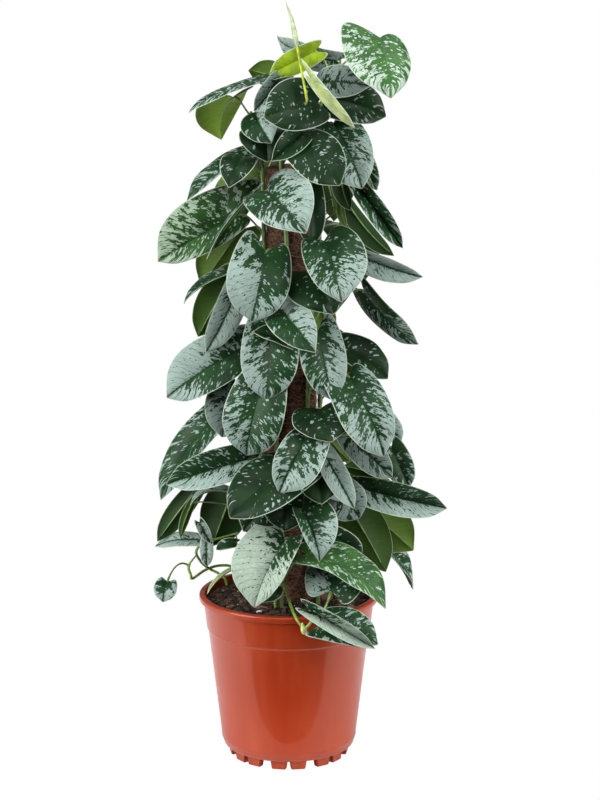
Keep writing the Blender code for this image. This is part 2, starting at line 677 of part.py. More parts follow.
def swung(leaf, push):
    """The leaf moved, its tip more than its base: along the sight line, or outward at the back."""
    middle = (leaf.base + leaf.tip) / 2
    if leaf.face is None:
        way = (EYE - middle).normalized()
    else:
        way = Vector((middle.x - POLE_X, middle.y, 0.0)).normalized()
    return leaf._replace(base=leaf.base + way * (0.5 * push), tip=leaf.tip + way * push)


def pushes(leaf):
    """Small moves first; a leaf at the back only moves outward."""
    yield 0.0
    for step in range(1, PUSHES):
        yield step * PUSH
        if leaf.face is None:
            yield -step * PUSH


def seat_leaf(leaf, stems, clearance):
    """Finds where the leaf and its stalk pass everything that is already there."""
    spare = None
    reach = STALK_RADIUS + 2 * GAP
    for push in pushes(leaf):
        moved = swung(leaf, push)
        axes = leaf_axes(moved)
        solid = blade_solid(moved, CLEAR)
        places = [vert.co.copy() for vert in solid.verts]
        tree = BVHTree.FromBMesh(solid)
        solid.free()
        crossed = clearance.met(tree, places)
        for owner in owners_by_distance(moved, stems):
            if crossed - {owner}:
                continue
            for start in stalk_starts(owner, stems, moved):
                outward = Vector((moved.base.x - POLE_X, moved.base.y, 0.0)).normalized()
                for bulge in STALK_BULGES:
                    path = stalk_path(start, moved, axes, bulge * MM, outward)
                    met = clearance.met(ribbon_tree(path, reach), path, {(owner, "stem")})
                    if met - {owner}:
                        continue
                    found = (moved, owner, path, tree, places)
                    if not met and not crossed:
                        return found
                    spare = spare or found
        if spare and abs(push) > OWN_PUSH:
            return spare
    return spare


def back_leaves():
    """Leaves on the far side, turned round the pole by the golden angle from low to high."""
    draw = random.Random(SEED)
    leaves = []
    for count in range(BACK_LEAVES):
        share = (count + 0.5) / BACK_LEAVES
        spread = BACK_SPREAD * (2 * (count * GOLDEN_TURN / (2 * math.pi) % 1) - 1)
        turn = math.pi + spread * (1 - 0.6 * share ** 2) + draw.uniform(-0.08, 0.08)
        out = Vector((math.sin(turn), -math.cos(turn), 0.0))
        aside = Vector((math.cos(turn), math.sin(turn), 0.0))
        height = BACK_LOW + (BACK_HIGH - BACK_LOW) * share + draw.uniform(-12, 12) * MM
        near = (56 + 22 * (1 - share) + draw.uniform(-6, 14)) * MM
        base = Vector((POLE_X, 0, height)) + out * near
        length = draw.uniform(64, 80) * MM
        dip = math.radians(draw.uniform(38, 68))
        stray = aside * draw.uniform(-18, 18) * MM
        tip = base + out * (length * math.cos(dip)) + stray - Vector((0, 0, length * math.sin(dip)))
        face = out * 0.75 + Vector((0, 0, 0.65)) + aside * draw.uniform(-0.35, 0.35)
        width = draw.uniform(50, 66) * MM
        roll, fold = draw.uniform(-14, 14), draw.uniform(4, 20)
        arch = draw.uniform(6, 11) * MM
        oblique = BACK_OBLIQUE if count % 2 else -BACK_OBLIQUE
        leaves.append(Leaf(f"back_{count}", base, tip, width, roll, fold, arch, face, oblique))
    return leaves


def from_pole(leaf):
    middle = (leaf.base + leaf.tip) / 2
    return math.hypot(middle.x - POLE_X, middle.y)


def front_leaves():
    """The leaves that the front elevation shows, the inner ones first."""
    leaves = []
    for name, base, tip, width, roll, fold, arch in FRONT_LEAVES:
        seen = (sight(*base), sight(*tip), width * MM, roll, fold, arch * MM)
        leaves.append(Leaf(name, *seen, None, OBLIQUE.get(name, 0.0)))
    return sorted(leaves, key=from_pole)


def make_stems(clearance):
    """Every climbing stem and hanging shoot: what it grows from, and its tube paths and radii."""
    stems, tubes = {}, {}
    for climber in CLIMBERS:
        path = climber_path(climber)
        stems[climber.name] = climber
        tubes[climber.name] = [(path, STEM_RADIUS)]
    for name, runs in (("shoot_front", FRONT_SHOOT), ("shoot_left", LEFT_SHOOT)):
        paths = [smooth_path([sight(*place) for place in run], 2) for run in runs]
        stems[name] = paths
        tubes[name] = [(path, SHOOT_RADIUS) for path in paths]
    for name, runs in tubes.items():
        for path, radius in runs:
            clearance.add(name, "stem", ribbon_tree(path, radius + GAP), path)
    return stems, tubes


def tapered(path, radius):
    """Radii along a stem: full for most of it and slimmer near its tip."""
    last = len(path) - 1
    return [radius * min(1.0, 0.55 + 3.0 * (last - index) / last) for index in range(last + 1)]


def plant(home, standing):
    """Places the leaves one by one, then fuses each stem with its own stalks and blades."""
    clearance = Clearance()
    graph = bpy.context.evaluated_depsgraph_get()
    for obj in standing:
        places = [vert.co for vert in obj.data.vertices]
        clearance.add(obj.name, "solid", BVHTree.FromObject(obj, graph), places)
    stems, tubes = make_stems(clearance)
    grown = {name: [] for name in stems}
    for leaf in [*front_leaves(), *back_leaves()]:
        moved, owner, path, tree, places = seat_leaf(leaf, stems, clearance)
        clearance.add(owner, "blade", tree, places)
        clearance.add(owner, "stalk", ribbon_tree(path, STALK_RADIUS), path)
        grown[owner].append((moved, path))
    return stems, tubes, grown


def fuse_stem(name, tubes, grown, home, finish):
    (path, radius), *others = tubes
    stem = add_object(name, tube_mesh(name, path, tapered(path, radius), STEM_SIDES), home, finish)
    pieces = collection(name + "_pieces")
    for other, thick in others:
        add_object("run", tube_mesh("run", other, [thick] * len(other), STEM_SIDES), pieces)
    for leaf, stalk in grown:
        slim = STALK_RADIUS * min(1.0, 0.6 + leaf.width / (80 * MM))
        add_object("stalk", tube_mesh("stalk", stalk, [slim] * len(stalk), 3), pieces)
        add_object("blade", mesh_of("blade", blade_solid(leaf, BLADE)), pieces)
    return combine(stem, pieces, "UNION", "MANIFOLD")


def centre_on_origin(home):
    """Moves the whole object so that the origin is under the middle of its box."""
    corners = [obj.matrix_world @ Vector(corner) for obj in home.objects for corner in obj.bound_box]
    low = Vector([min(corner[axis] for corner in corners) for axis in range(3)])
    high = Vector([max(corner[axis] for corner in corners) for axis in range(3)])
    stand = bpy.data.objects.new("stand", None)
    for obj in home.objects:
        obj.parent = stand
    home.objects.link(stand)
    stand.location = (-(low.x + high.x) / 2, -(low.y + high.y) / 2, -low.z)


def main():
    for obj in list(bpy.data.objects):
        bpy.data.objects.remove(obj)
    home = collection("potted_scindapsus")
    pot = make_pot(home)
    coir = make_pole(home)
    roots = [(stem_place(climber, SOIL_EDGE - ROOT_DEPTH), STEM_RADIUS) for climber in CLIMBERS]
    roots += [(sight(*run[0]), SHOOT_RADIUS) for run in (FRONT_SHOOT[0], *LEFT_SHOOT)]
    soil = make_soil(home, roots)
    leafy = material("leaf_green", (0.035, 0.10, 0.045), 0.45)
    stems, tubes, grown = plant(home, (pot, soil, coir))
    for name in stems:
        fuse_stem(name, tubes[name], grown[name], home, leafy)
    for obj in home.objects:
        obj.data.shade_smooth()
        obj.data.set_sharp_from_angle(angle=math.radians(40))
    centre_on_origin(home)


if __name__ == "__main__":
    main()
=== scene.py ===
# %% [markdown]
# # Potted scindapsus: from a plain frame to a living plant
#
# The frame that this script loads is a plain model of the plant: a pot, its potting mix, a coir pole
# and eight leafy stems with flat, faceted leaves. Everything here is made in the same metres and in the
# same place. Each plain stem gives way to one with fine blades, veins, stalks and joints, and every
# surface gets a material that is worked out by nodes.

# %% Load the frame
import json
import math
import random
from collections import namedtuple

import bmesh
import bpy
import numpy as np
from mathutils import Matrix, Vector, noise
from mathutils.bvhtree import BVHTree

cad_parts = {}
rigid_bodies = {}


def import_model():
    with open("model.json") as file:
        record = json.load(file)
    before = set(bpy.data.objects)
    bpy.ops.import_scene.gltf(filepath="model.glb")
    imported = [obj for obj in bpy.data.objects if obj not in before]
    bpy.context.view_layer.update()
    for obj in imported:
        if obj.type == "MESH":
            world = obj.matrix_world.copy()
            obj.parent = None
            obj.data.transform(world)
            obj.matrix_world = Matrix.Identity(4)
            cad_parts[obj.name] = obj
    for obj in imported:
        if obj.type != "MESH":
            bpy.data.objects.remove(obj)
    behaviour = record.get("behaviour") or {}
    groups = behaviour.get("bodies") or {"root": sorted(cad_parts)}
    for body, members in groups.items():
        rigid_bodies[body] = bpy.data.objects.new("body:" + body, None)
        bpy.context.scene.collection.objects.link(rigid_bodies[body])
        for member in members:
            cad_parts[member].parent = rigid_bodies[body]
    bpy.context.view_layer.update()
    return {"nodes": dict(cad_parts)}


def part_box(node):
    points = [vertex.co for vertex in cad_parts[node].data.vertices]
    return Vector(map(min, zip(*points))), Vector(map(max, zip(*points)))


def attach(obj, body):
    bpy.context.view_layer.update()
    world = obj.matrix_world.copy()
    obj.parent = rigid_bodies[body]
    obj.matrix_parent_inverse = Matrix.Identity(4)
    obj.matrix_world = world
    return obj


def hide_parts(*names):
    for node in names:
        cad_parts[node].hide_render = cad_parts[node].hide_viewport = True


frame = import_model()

print("frame:", ", ".join(sorted(frame["nodes"])))

# %% [markdown]
# ## Where things are
#
# The pot's axis is the one line that everything else is measured from, and the frame gives it. Leaves
# were placed by looking at the plant from the front, so a place is kept as three plain numbers: how far
# across, how far up, and how far toward the eye. A straight line from the upright plane to the eye turns
# these into a point, and moving a leaf along that line doesn't change where the front view shows it.

# %% The pot's axis and the eye
MM = 0.001
GAP = 0.3 * MM

pot_low, pot_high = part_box("pot")
AXIS = Vector(((pot_low[0] + pot_high[0]) / 2, (pot_low[1] + pot_high[1]) / 2, 0.0))
EYE = Vector((0.012, -2.5, 0.918))  # from the pot's axis
EYE_DOWN = math.radians(12.04)
LENS = 110.0
UP = Vector((0.0, 0.0, 1.0))


def sight(across, up, toward):
    """The place that the front view shows at (across, up) in millimetres, brought toward the eye."""
    on_plane = Vector((across * MM, 0.0, up * MM))
    return on_plane.lerp(EYE, toward * MM / -EYE.y)


print("pot axis at", tuple(round(value, 4) for value in AXIS))

# %% [markdown]
# ## Camera
#
# A long lens a long way off keeps the plant's sides nearly parallel, as in a catalogue picture. It looks
# a little down, which shows the oval of the pot's rim.

# %% Camera
camera = bpy.data.objects.new("camera", bpy.data.cameras.new("camera"))
bpy.context.scene.collection.objects.link(camera)
camera.location = EYE + AXIS
camera.rotation_euler = (math.pi / 2 - EYE_DOWN, 0.0, 0.0)
camera.data.lens = LENS
camera.data.clip_end = 20.0
bpy.context.scene.camera = camera
print("camera at", tuple(round(value, 3) for value in camera.location))

# %% [markdown]
# ## Helpers for materials
#
# A material is a small graph, and so are the surroundings. Writing each node and link in full hides the
# idea, so one helper adds a node with its settings and feeds it whatever it is given: a socket is linked,
# a number is set. Short names on top of it stand for the steps that come up most.

# %% Node helpers
def feed(tree, socket, value):
    """Links an input to another node's output, or sets its value."""
    if isinstance(value, bpy.types.NodeSocket):
        tree.links.new(value, socket)
    else:
        socket.default_value = value


def node(tree, kind, _out=0, _set=None, **inputs):
    """Adds a node, sets or links its inputs by name, and returns one of its outputs."""
    made = tree.nodes.new(kind)
    for name, value in (_set or {}).items():
        setattr(made, name, value)
    for name, value in inputs.items():
        wanted = name.replace("_", " ")
        numbered = wanted[0] == "n" and wanted[1:].isdigit()
        feed(tree, made.inputs[int(wanted[1:]) if numbered else wanted], value)
    return made.outputs[_out]


print("node helper ready")

# %% Steps of arithmetic and colour
def maths(tree, operation, first, second=0.0, third=0.0):
    settings = {"operation": operation}
    return node(tree, "ShaderNodeMath", _set=settings, n0=first, n1=second, n2=third)


def times(tree, first, second):
    return maths(tree, "MULTIPLY", first, second)


def scaled(tree, value, factor, shift):
    """A value times a factor, plus a shift."""
    return maths(tree, "MULTIPLY_ADD", value, factor, shift)


def ramp(tree, value, low, high, start=0.0, stop=1.0):
    """Smooth step from start to stop, as a value goes from low to high."""
    settings = {"interpolation_type": "SMOOTHSTEP"}
    limits = {"From_Min": low, "From_Max": high, "To_Min": start, "To_Max": stop}
    return node(tree, "ShaderNodeMapRange", _out="Result", _set=settings, Value=value, **limits)


def mixed(tree, share, first, second, blend="MIX"):
    """Colour mixed from the first to the second."""
    settings = {"data_type": "RGBA", "blend_type": blend}
    return node(tree, "ShaderNodeMix", _out=2, _set=settings, n0=share, n6=first, n7=second)


def tinted(tree, colour, red, green, blue):
    """A colour with each of its parts multiplied."""
    return mixed(tree, 1.0, colour, (red, green, blue, 1), "MULTIPLY")


def combined(tree, x, y, z):
    return node(tree, "ShaderNodeCombineXYZ", X=x, Y=y, Z=z)


def grain(tree, vector, scale, detail=2.0, roughness=0.5):
    """Noise from 0 to 1."""
    return node(tree, "ShaderNodeTexNoise", Vector=vector, Scale=scale, Detail=detail, Roughness=roughness)


print("steps ready")

# %% Groups and materials
def new_group(name, inputs, outputs):
    """An empty shader group with its sockets; returns the group and its inner ends."""
    group = bpy.data.node_groups.new(name, "ShaderNodeTree")
    kinds = {"value": "NodeSocketFloat", "vector": "NodeSocketVector", "colour": "NodeSocketColor"}
    for title, (kind, default) in inputs.items():
        socket = group.interface.new_socket(title, in_out="INPUT", socket_type=kinds[kind])
        if default is not None:
            socket.default_value = default
    for title, kind in outputs.items():
        group.interface.new_socket(title, in_out="OUTPUT", socket_type=kinds[kind])
    return group, group.nodes.new("NodeGroupInput").outputs, group.nodes.new("NodeGroupOutput").inputs


def place_group(tree, group, **inputs):
    """A group placed in a material; returns its outputs."""
    made = tree.nodes.new("ShaderNodeGroup")
    made.node_tree = group
    for name, value in inputs.items():
        feed(tree, made.inputs[name.replace("_", " ")], value)
    return made.outputs


def new_material(name, colour, roughness, **shader_inputs):
    """A Principled material with plain values; returns the material, its tree and its shader."""
    made = bpy.data.materials.new(name)
    made.use_nodes = True
    made.diffuse_color = (*colour, 1.0)
    shader = made.node_tree.nodes["Principled BSDF"]
    shader.inputs["Base Color"].default_value = (*colour, 1.0)
    shader.inputs["Roughness"].default_value = roughness
    for title, value in shader_inputs.items():
        shader.inputs[title.replace("_", " ")].default_value = value
    return made, made.node_tree, shader


def add_bump(tree, shader, height, strength, distance):
    bump = node(tree, "ShaderNodeBump", Strength=strength, Distance=distance, Height=height)
    feed(tree, shader.inputs["Normal"], bump)


print("group and material helpers ready")

# %% [markdown]
# ## Light and floor
#
# Satin plastic and waxy leaves show their form by what they reflect, so the light comes from wide soft
# panels: one at each side, whose long reflections run down the pot, one high in front and one overhead.
# The plant stands near the front edge of a white table. The lower part of the pot mirrors the table, and
# above that the dark room in front of it, which draws the dark bow down the middle of the pot. Seen
# directly, table and surroundings are one even white.

# %% Soft panels
def soft_panel(name, place, aim, width, height, power):
    """A rectangular area light at a place, turned to face another place."""
    light = bpy.data.lights.new(name, "AREA")
    light.shape = "RECTANGLE"
    light.size = width
    light.size_y = height
    light.energy = power
    panel = bpy.data.objects.new(name, light)
    panel.location = place
    panel.rotation_euler = (Vector(aim) - Vector(place)).to_track_quat("-Z", "Y").to_euler()
    bpy.context.scene.collection.objects.link(panel)


soft_panel("left_panel", (-1.30, -0.75, 0.70), (0.0, 0.0, 0.35), 1.0, 1.6, 38)
soft_panel("right_panel", (1.30, -0.75, 0.70), (0.0, 0.0, 0.35), 1.0, 1.6, 32)
soft_panel("front_panel", (-0.3, -2.2, 2.0), (0.0, 0.0, 0.45), 1.4, 0.8, 24)
soft_panel("top_panel", (0.0, -0.1, 2.1), (0.0, 0.0, 0.4), 1.4, 1.2, 20)
print("lights:", sum(1 for item in bpy.data.objects if item.type == "LIGHT"))

# %% Surroundings
WHITE = (1.0, 1.0, 1.0, 1.0)


def light_surroundings(dim, bright):
    """Surroundings that are white to the camera, and for all else dim below and brighter above."""
    world = bpy.data.worlds.new("studio")
    bpy.context.scene.world = world
    world.use_nodes = True
    tree = world.node_tree
    direction = node(tree, "ShaderNodeTexCoord", _out="Generated")
    rise = node(tree, "ShaderNodeSeparateXYZ", _out="Z", Vector=direction)
    limits = {"From_Min": 0.0, "From_Max": 0.25, "To_Min": dim, "To_Max": bright}
    glow = node(tree, "ShaderNodeMapRange", _out="Result", Value=rise, **limits)
    seen = node(tree, "ShaderNodeLightPath", _out="Is Camera Ray")
    background = tree.nodes["Background"]
    feed(tree, background.inputs["Color"], WHITE)
    feed(tree, background.inputs["Strength"], node(tree, "ShaderNodeMix", n0=seen, n2=glow, n3=1.0))


light_surroundings(dim=0.03, bright=0.34)
bpy.context.scene.view_settings.view_transform = "Standard"
print("surroundings:", bpy.context.scene.world.name)

# %% Table
TABLE_FRONT = -0.175  # from the pot's axis
TABLE_REACH = 2.0


def make_table():
    """A white table top at the height of the pot's feet, pure white where the camera sees it."""
    bm = bmesh.new()
    bmesh.ops.create_grid(bm, x_segments=1, y_segments=1, size=TABLE_REACH)
    mesh = bpy.data.meshes.new("table")
    bm.to_mesh(mesh)
    bm.free()
    mesh.transform(Matrix.Translation(AXIS + Vector((0.0, TABLE_FRONT + TABLE_REACH, 0.0))))
    table = bpy.data.objects.new("table", mesh)
    paint, tree, shader = new_material("table_paint", (0.9, 0.9, 0.9), 0.9)
    seen = node(tree, "ShaderNodeLightPath", _out="Is Camera Ray")
    shine = node(tree, "ShaderNodeEmission")
    choice = node(tree, "ShaderNodeMixShader", n0=seen, n1=shader.outputs[0], n2=shine)
    feed(tree, tree.nodes["Material Output"].inputs["Surface"], choice)
    mesh.materials.append(paint)
    bpy.context.scene.collection.objects.link(table)


make_table()
print("table", 2 * TABLE_REACH, "m square")

# %% [markdown]
# ## Grain that several materials share
#
# Plastic, soil, coir and leaf all need the same thing at different scales: a slow change of tone over
# centimetres and a fine one over fractions of a millimetre. One group gives both, and each material
# places it with its own sizes.

# %% Grain group
def make_grain_group():
    group, given, wanted = new_group(
        "two_scale_grain",
        {"Vector": ("vector", None), "Broad Scale": ("value", 20.0), "Fine Scale": ("value", 400.0)},
        {"Broad": "value", "Fine": "value"},
    )
    feed(group, wanted["Broad"], grain(group, given["Vector"], given["Broad Scale"], 3.0))
    feed(group, wanted["Fine"], grain(group, given["Vector"], given["Fine Scale"], 2.0, 0.6))
    return group


GRAIN = make_grain_group()


def object_place(tree):
    return node(tree, "ShaderNodeTexCoord", _out="Object")


print("groups:", len(bpy.data.node_groups))

# %% [markdown]
# ## Adding a piece
#
# Every mesh is made round the pot's axis, then shifted to where the frame stands. It rides on the frame's
# one body, and it may stand in for a plain node, which is then hidden.

# %% Adding a piece
def mesh_of(name, bm):
    mesh = bpy.data.meshes.new(name)
    bm.to_mesh(mesh)
    bm.free()
    return mesh


def add_piece(name, mesh, materials, replaced=(), sharp=40.0):
    """Puts a mesh in the scene as a piece of the object."""
    mesh.transform(Matrix.Translation(AXIS))
    for item in materials:
        mesh.materials.append(item)
    mesh.shade_smooth()
    mesh.set_sharp_from_angle(angle=math.radians(sharp))
    obj = bpy.data.objects.new(name, mesh)
    bpy.context.scene.collection.objects.link(obj)
    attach(obj, "root")
    if replaced:
        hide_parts(*replaced)
    print(f"{name}: {sum(len(face.vertices) - 2 for face in mesh.polygons)} triangles")


print("piece helper ready")

# %% Turning and joining meshes
def applied(obj):
    """The object's mesh with its modifiers worked in; the object itself is removed."""
    bpy.context.view_layer.update()
    graph = bpy.context.evaluated_depsgraph_get()
    mesh = bpy.data.meshes.new_from_object(obj.evaluated_get(graph))
    bpy.data.objects.remove(obj)
    return mesh


def loose_object(name, mesh, home=None):
    obj = bpy.data.objects.new(name, mesh)
    (home or bpy.context.scene.collection).objects.link(obj)
    return obj


def turned(name, profile, steps):
    """Mesh of a profile of (radius, height) turned round the axis, outer side from top to bottom."""
    bm = bmesh.new()
    points = [bm.verts.new((radius, 0.0, height)) for radius, height in profile]
    for first, second in zip(points, points[1:]):
        bm.edges.new((first, second))
    obj = loose_object(name, mesh_of(name, bm))
    screw = obj.modifiers.new("turn", "SCREW")
    screw.steps = screw.render_steps = steps
    screw.use_merge_vertices = True
    screw.merge_threshold = 0.01 * MM
    return applied(obj)


def combine(mesh, pieces, operation):
    """One Boolean of a mesh with a collection of pieces, which are then removed."""
    obj = loose_object("body", mesh)
    boolean = obj.modifiers.new("combine", "BOOLEAN")
    boolean.operand_type = "COLLECTION"
    boolean.collection = pieces
    boolean.operation = operation
    boolean.solver = "EXACT"
    made = applied(obj)
    for piece in list(pieces.objects):
        bpy.data.objects.remove(piece)
    bpy.data.collections.remove(pieces)
    return made


def new_collection(name):
    made = bpy.data.collections.new(name)
    bpy.context.scene.collection.children.link(made)
    return made


print("mesh helpers ready")

# %% [markdown]
# ## Nursery pot
#
# The pot is moulded in one shot from brick-red plastic: a rolled rim to lift it by, a band that is a
# little wider than the side below it, a faint ring near the foot and eight pairs of feet that let it
# drain. A turned profile gives all but the feet, which are bevelled blocks joined on by a Boolean.

# %% Pot sizes
POT_HEIGHT = 176.6 * MM
RIM_RADIUS = 95.0 * MM
RIM_DROP = 6.5 * MM
MOUTH_RADIUS = 88.5 * MM
BAND_LOW = 139.0 * MM
BAND_STEP = 1.2 * MM
BODY_RADIUS_LOW = 71.4 * MM
BODY_LOW = 18.0 * MM
BODY_FLARE = 0.1187
WALL = 2.0 * MM
FOOT_HEIGHT = 9.9 * MM
FOOT_PAIRS = 8
FOOT_ARC = math.radians(16.25)
FOOT_SLIT = math.radians(2.75)
FOOT_RADIUS = 64.0 * MM
FOOT_DEPTH = 8.0 * MM
HEEL = 5.0 * MM
DRAIN_RADIUS = 5.0 * MM
DRAIN_CIRCLE = 44.0 * MM
POT_STEPS = 192


def body_radius(height):
    """Outside radius of the pot's plain side at a height."""
    return BODY_RADIUS_LOW + BODY_FLARE * (height - BODY_LOW)


def arc(centre, radius, start, stop, count):
    """Points of an arc in a profile, by angles in degrees from straight out, up positive."""
    for step in range(count + 1):
        angle = math.radians(start + (stop - start) * step / count)
        yield centre[0] + radius * math.cos(angle), centre[1] + radius * math.sin(angle)


print("pot rim", round(2 * RIM_RADIUS / MM), "mm across")

# %% Pot profile
def pot_profile():
    """Profile of the pot from the middle of its floor up the inside, over the rim and down the outside."""
    floor = FOOT_HEIGHT + WALL
    lip = POT_HEIGHT - RIM_DROP
    roll = 2.2 * MM
    step = BAND_LOW + BAND_STEP
    ring = 20.0 * MM
    return [
        (0.0, floor),
        (body_radius(floor) - WALL - HEEL, floor),
        (body_radius(floor + HEEL) - WALL, floor + HEEL),
        (body_radius(BAND_LOW) - WALL, BAND_LOW),
        (MOUTH_RADIUS - 1.0 * MM, lip - 2.0 * MM),
        (MOUTH_RADIUS, POT_HEIGHT - 1.6 * MM),
        *arc((MOUTH_RADIUS + 1.2 * MM, POT_HEIGHT - 1.2 * MM), 1.2 * MM, 180, 90, 5),
        *arc((RIM_RADIUS - roll, POT_HEIGHT - roll), roll, 90, 0, 8),
        *arc((RIM_RADIUS - 1.0 * MM, lip + 1.0 * MM), 1.0 * MM, 0, -90, 4),
        *arc((body_radius(lip) + BAND_STEP + 1.2 * MM, lip - 1.2 * MM), 1.2 * MM, 90, 180, 5),
        (body_radius(lip - 4 * MM) + BAND_STEP, lip - 4 * MM),
        (body_radius(step + 1.5 * MM) + BAND_STEP, step + 1.5 * MM),
        *arc((body_radius(step) + 0.4 * MM, step), 0.8 * MM, 20, -70, 4),
        (body_radius(BAND_LOW) + 0.15 * MM, BAND_LOW - 0.2 * MM),
        (body_radius(BAND_LOW - 2 * MM), BAND_LOW - 2 * MM),
        (body_radius(ring + 2.0 * MM), ring + 2.0 * MM),
        (body_radius(ring + 0.9 * MM) + 0.35 * MM, ring + 0.9 * MM),
        (body_radius(ring - 0.9 * MM) + 0.35 * MM, ring - 0.9 * MM),
        (body_radius(BODY_LOW) - 0.2 * MM, BODY_LOW),
        (body_radius(BODY_LOW) - 1.6 * MM, FOOT_HEIGHT + 3.0 * MM),
        (body_radius(BODY_LOW) - 2.6 * MM, FOOT_HEIGHT + 1.2 * MM),
        (body_radius(BODY_LOW) - 5.0 * MM, FOOT_HEIGHT),
        (0.0, FOOT_HEIGHT),
    ]


print("pot profile:", len(pot_profile()), "points")

# %% Pot with its feet and drain holes
def foot_mesh(turn):
    """One block under the pot, narrower where it stands, with bevelled edges."""
    sunk = 1.2 * MM
    bm = bmesh.new()
    bmesh.ops.create_cube(bm, size=1.0)
    width = 2 * FOOT_RADIUS * math.sin(FOOT_ARC / 2)
    tall = FOOT_HEIGHT + sunk
    bmesh.ops.scale(bm, verts=bm.verts, vec=(FOOT_DEPTH, width, tall))
    standing = [vert for vert in bm.verts if vert.co.z < 0]
    bmesh.ops.scale(bm, verts=standing, vec=(0.8, 0.82, 1.0))
    bmesh.ops.bevel(bm, geom=bm.edges[:], offset=0.7 * MM, segments=2, affect="EDGES")
    bmesh.ops.translate(bm, verts=bm.verts, vec=(FOOT_RADIUS - FOOT_DEPTH / 2, 0.0, tall / 2))
    bmesh.ops.rotate(bm, verts=bm.verts, matrix=Matrix.Rotation(turn - math.pi / 2, 3, "Z"))
    return mesh_of("foot", bm)


def pot_mesh():
    """The turned pot with its feet joined on and its drain holes cut."""
    mesh = turned("pot", pot_profile(), POT_STEPS)
    feet = new_collection("feet")
    for pair in range(FOOT_PAIRS):
        for side in (-1, 1):
            turn = 2 * math.pi * pair / FOOT_PAIRS + side * (FOOT_ARC + FOOT_SLIT) / 2
            loose_object("foot", foot_mesh(turn), feet)
    mesh = combine(mesh, feet, "UNION")
    drains = new_collection("drains")
    for hole in range(FOOT_PAIRS):
        turn = 2 * math.pi * (hole + 0.5) / FOOT_PAIRS
        bm = bmesh.new()
        bmesh.ops.create_cone(
            bm, cap_ends=True, segments=24, radius1=DRAIN_RADIUS, radius2=DRAIN_RADIUS, depth=0.05
        )
        middle = (DRAIN_CIRCLE * math.cos(turn), DRAIN_CIRCLE * math.sin(turn), 0.0)
        bmesh.ops.translate(bm, verts=bm.verts, vec=middle)
        loose_object("drain", mesh_of("drain", bm), drains)
    return combine(mesh, drains, "DIFFERENCE")


print("pot stands on", 2 * FOOT_PAIRS, "feet")

# %% [markdown]
# ## Pot plastic
#
# Satin plastic is nearly even in colour. What makes it read as plastic is its sheen: a light film of
# dust, faint streaks from handling and the slight orange-peel of a mould face.

# %% Pot plastic
def make_plastic():
    sheen = {"Coat_Weight": 0.30, "Coat_Roughness": 0.05, "Specular_Tint": (1.0, 0.60, 0.42, 1.0)}
    made, tree, shader = new_material("terracotta_plastic", (0.27, 0.027, 0.004), 0.40, **sheen)
    place = object_place(tree)
    marks = place_group(tree, GRAIN, Vector=place, Broad_Scale=14.0, Fine_Scale=520.0)
    streaks = grain(tree, node(tree, "ShaderNodeMapping", Vector=place, Scale=(60.0, 60.0, 5.0)), 1.0, 3.0)
    film = times(tree, marks["Broad"], streaks)
    colour = mixed(tree, ramp(tree, film, 0.15, 0.42), (0.240, 0.020, 0.003, 1), (0.276, 0.028, 0.005, 1))
    feed(tree, shader.inputs["Base Color"], colour)
    feed(tree, shader.inputs["Roughness"], ramp(tree, film, 0.12, 0.42, 0.34, 0.44))
    add_bump(tree, shader, marks["Fine"], 0.06, 0.2 * MM)
    return made


add_piece("nursery_pot", pot_mesh(), [make_plastic()], ["pot"], 35.0)

# %% [markdown]
# ## Gathering many small shapes in one mesh
#
# A plant has thousands of small parts, and a scene with an object for each would crawl. Each small part
# is worked out as plain lists instead and gathered in one mesh. Values that a material reads, such as a
# leaf's green or a place along a vein, go along as attributes on the corners of the faces.

# %% Gathering
class Bunch:
    """Gathers verts and faces, with named three-part values on each face corner."""

    def __init__(self, *names):
        self.verts = []
        self.faces = []
        self.slots = []
        self.values = {name: [] for name in names}

    def add(self, verts, faces, slot=0, **values):
        """values holds, for each name, one vector for all corners or one for each corner in turn."""
        base = len(self.verts)
        self.verts += [tuple(vert) for vert in verts]
        self.faces += [[base + index for index in face] for face in faces]
        self.slots += [slot] * len(faces)
        corners = sum(len(face) for face in faces)
        for name, stored in self.values.items():
            given = values.get(name, (0.0, 0.0, 0.0))
            if isinstance(given, list):
                stored += given
            else:
                stored += [given] * corners

    def mesh(self, name):
        made = bpy.data.meshes.new(name)
        made.from_pydata(self.verts, [], self.faces)
        made.polygons.foreach_set("material_index", self.slots)
        for title, stored in self.values.items():
            held = made.attributes.new(title, "FLOAT_VECTOR", "CORNER")
            held.data.foreach_set("vector", np.array(stored, np.float32).ravel())
        return made


print("gathering ready")

# %% Attributes and tubes
def attribute(tree, name):
    return node(tree, "ShaderNodeAttribute", _out="Vector", _set={"attribute_name": name})


def ring_faces(sides, rings, first=0):
    """Faces between successive rings of verts, with a cap at each end."""
    faces = []
    for ring in range(rings - 1):
        low = first + ring * sides
        for step in range(sides):
            after = (step + 1) % sides
            faces.append((low + step, low + after, low + sides + after, low + sides + step))
    faces.append(tuple(reversed(range(first, first + sides))))
    faces.append(tuple(range(first + (rings - 1) * sides, first + rings * sides)))
    return faces


def heading(path, index):
    """The way that a path runs at one of its places."""
    return path[min(index + 1, len(path) - 1)] - path[max(index - 1, 0)]


def tube(path, radii, sides):
    """Verts and faces of a tube along a path, turned as little as possible from ring to ring."""
    verts = []
    side = None
    for index, place in enumerate(path):
        ahead = heading(path, index).normalized()
        side = ahead.orthogonal() if side is None else side - ahead * side.dot(ahead)
        side.normalize()
        other = ahead.cross(side)
        for step in range(sides):
            angle = 2 * math.pi * step / sides
            verts.append(place + (side * math.cos(angle) + other * math.sin(angle)) * radii[index])
    return verts, ring_faces(sides, len(path))


print("tubes ready")

# %% [markdown]
# ## Potting mix
#
# The mix fills the pot to just under its rim and is heaped a little round the pole. Its surface is a
# turned form pushed up and down by noise at three sizes, and loose crumbs, bark chips, coir shreds and a
# few grains of white perlite lie on it.

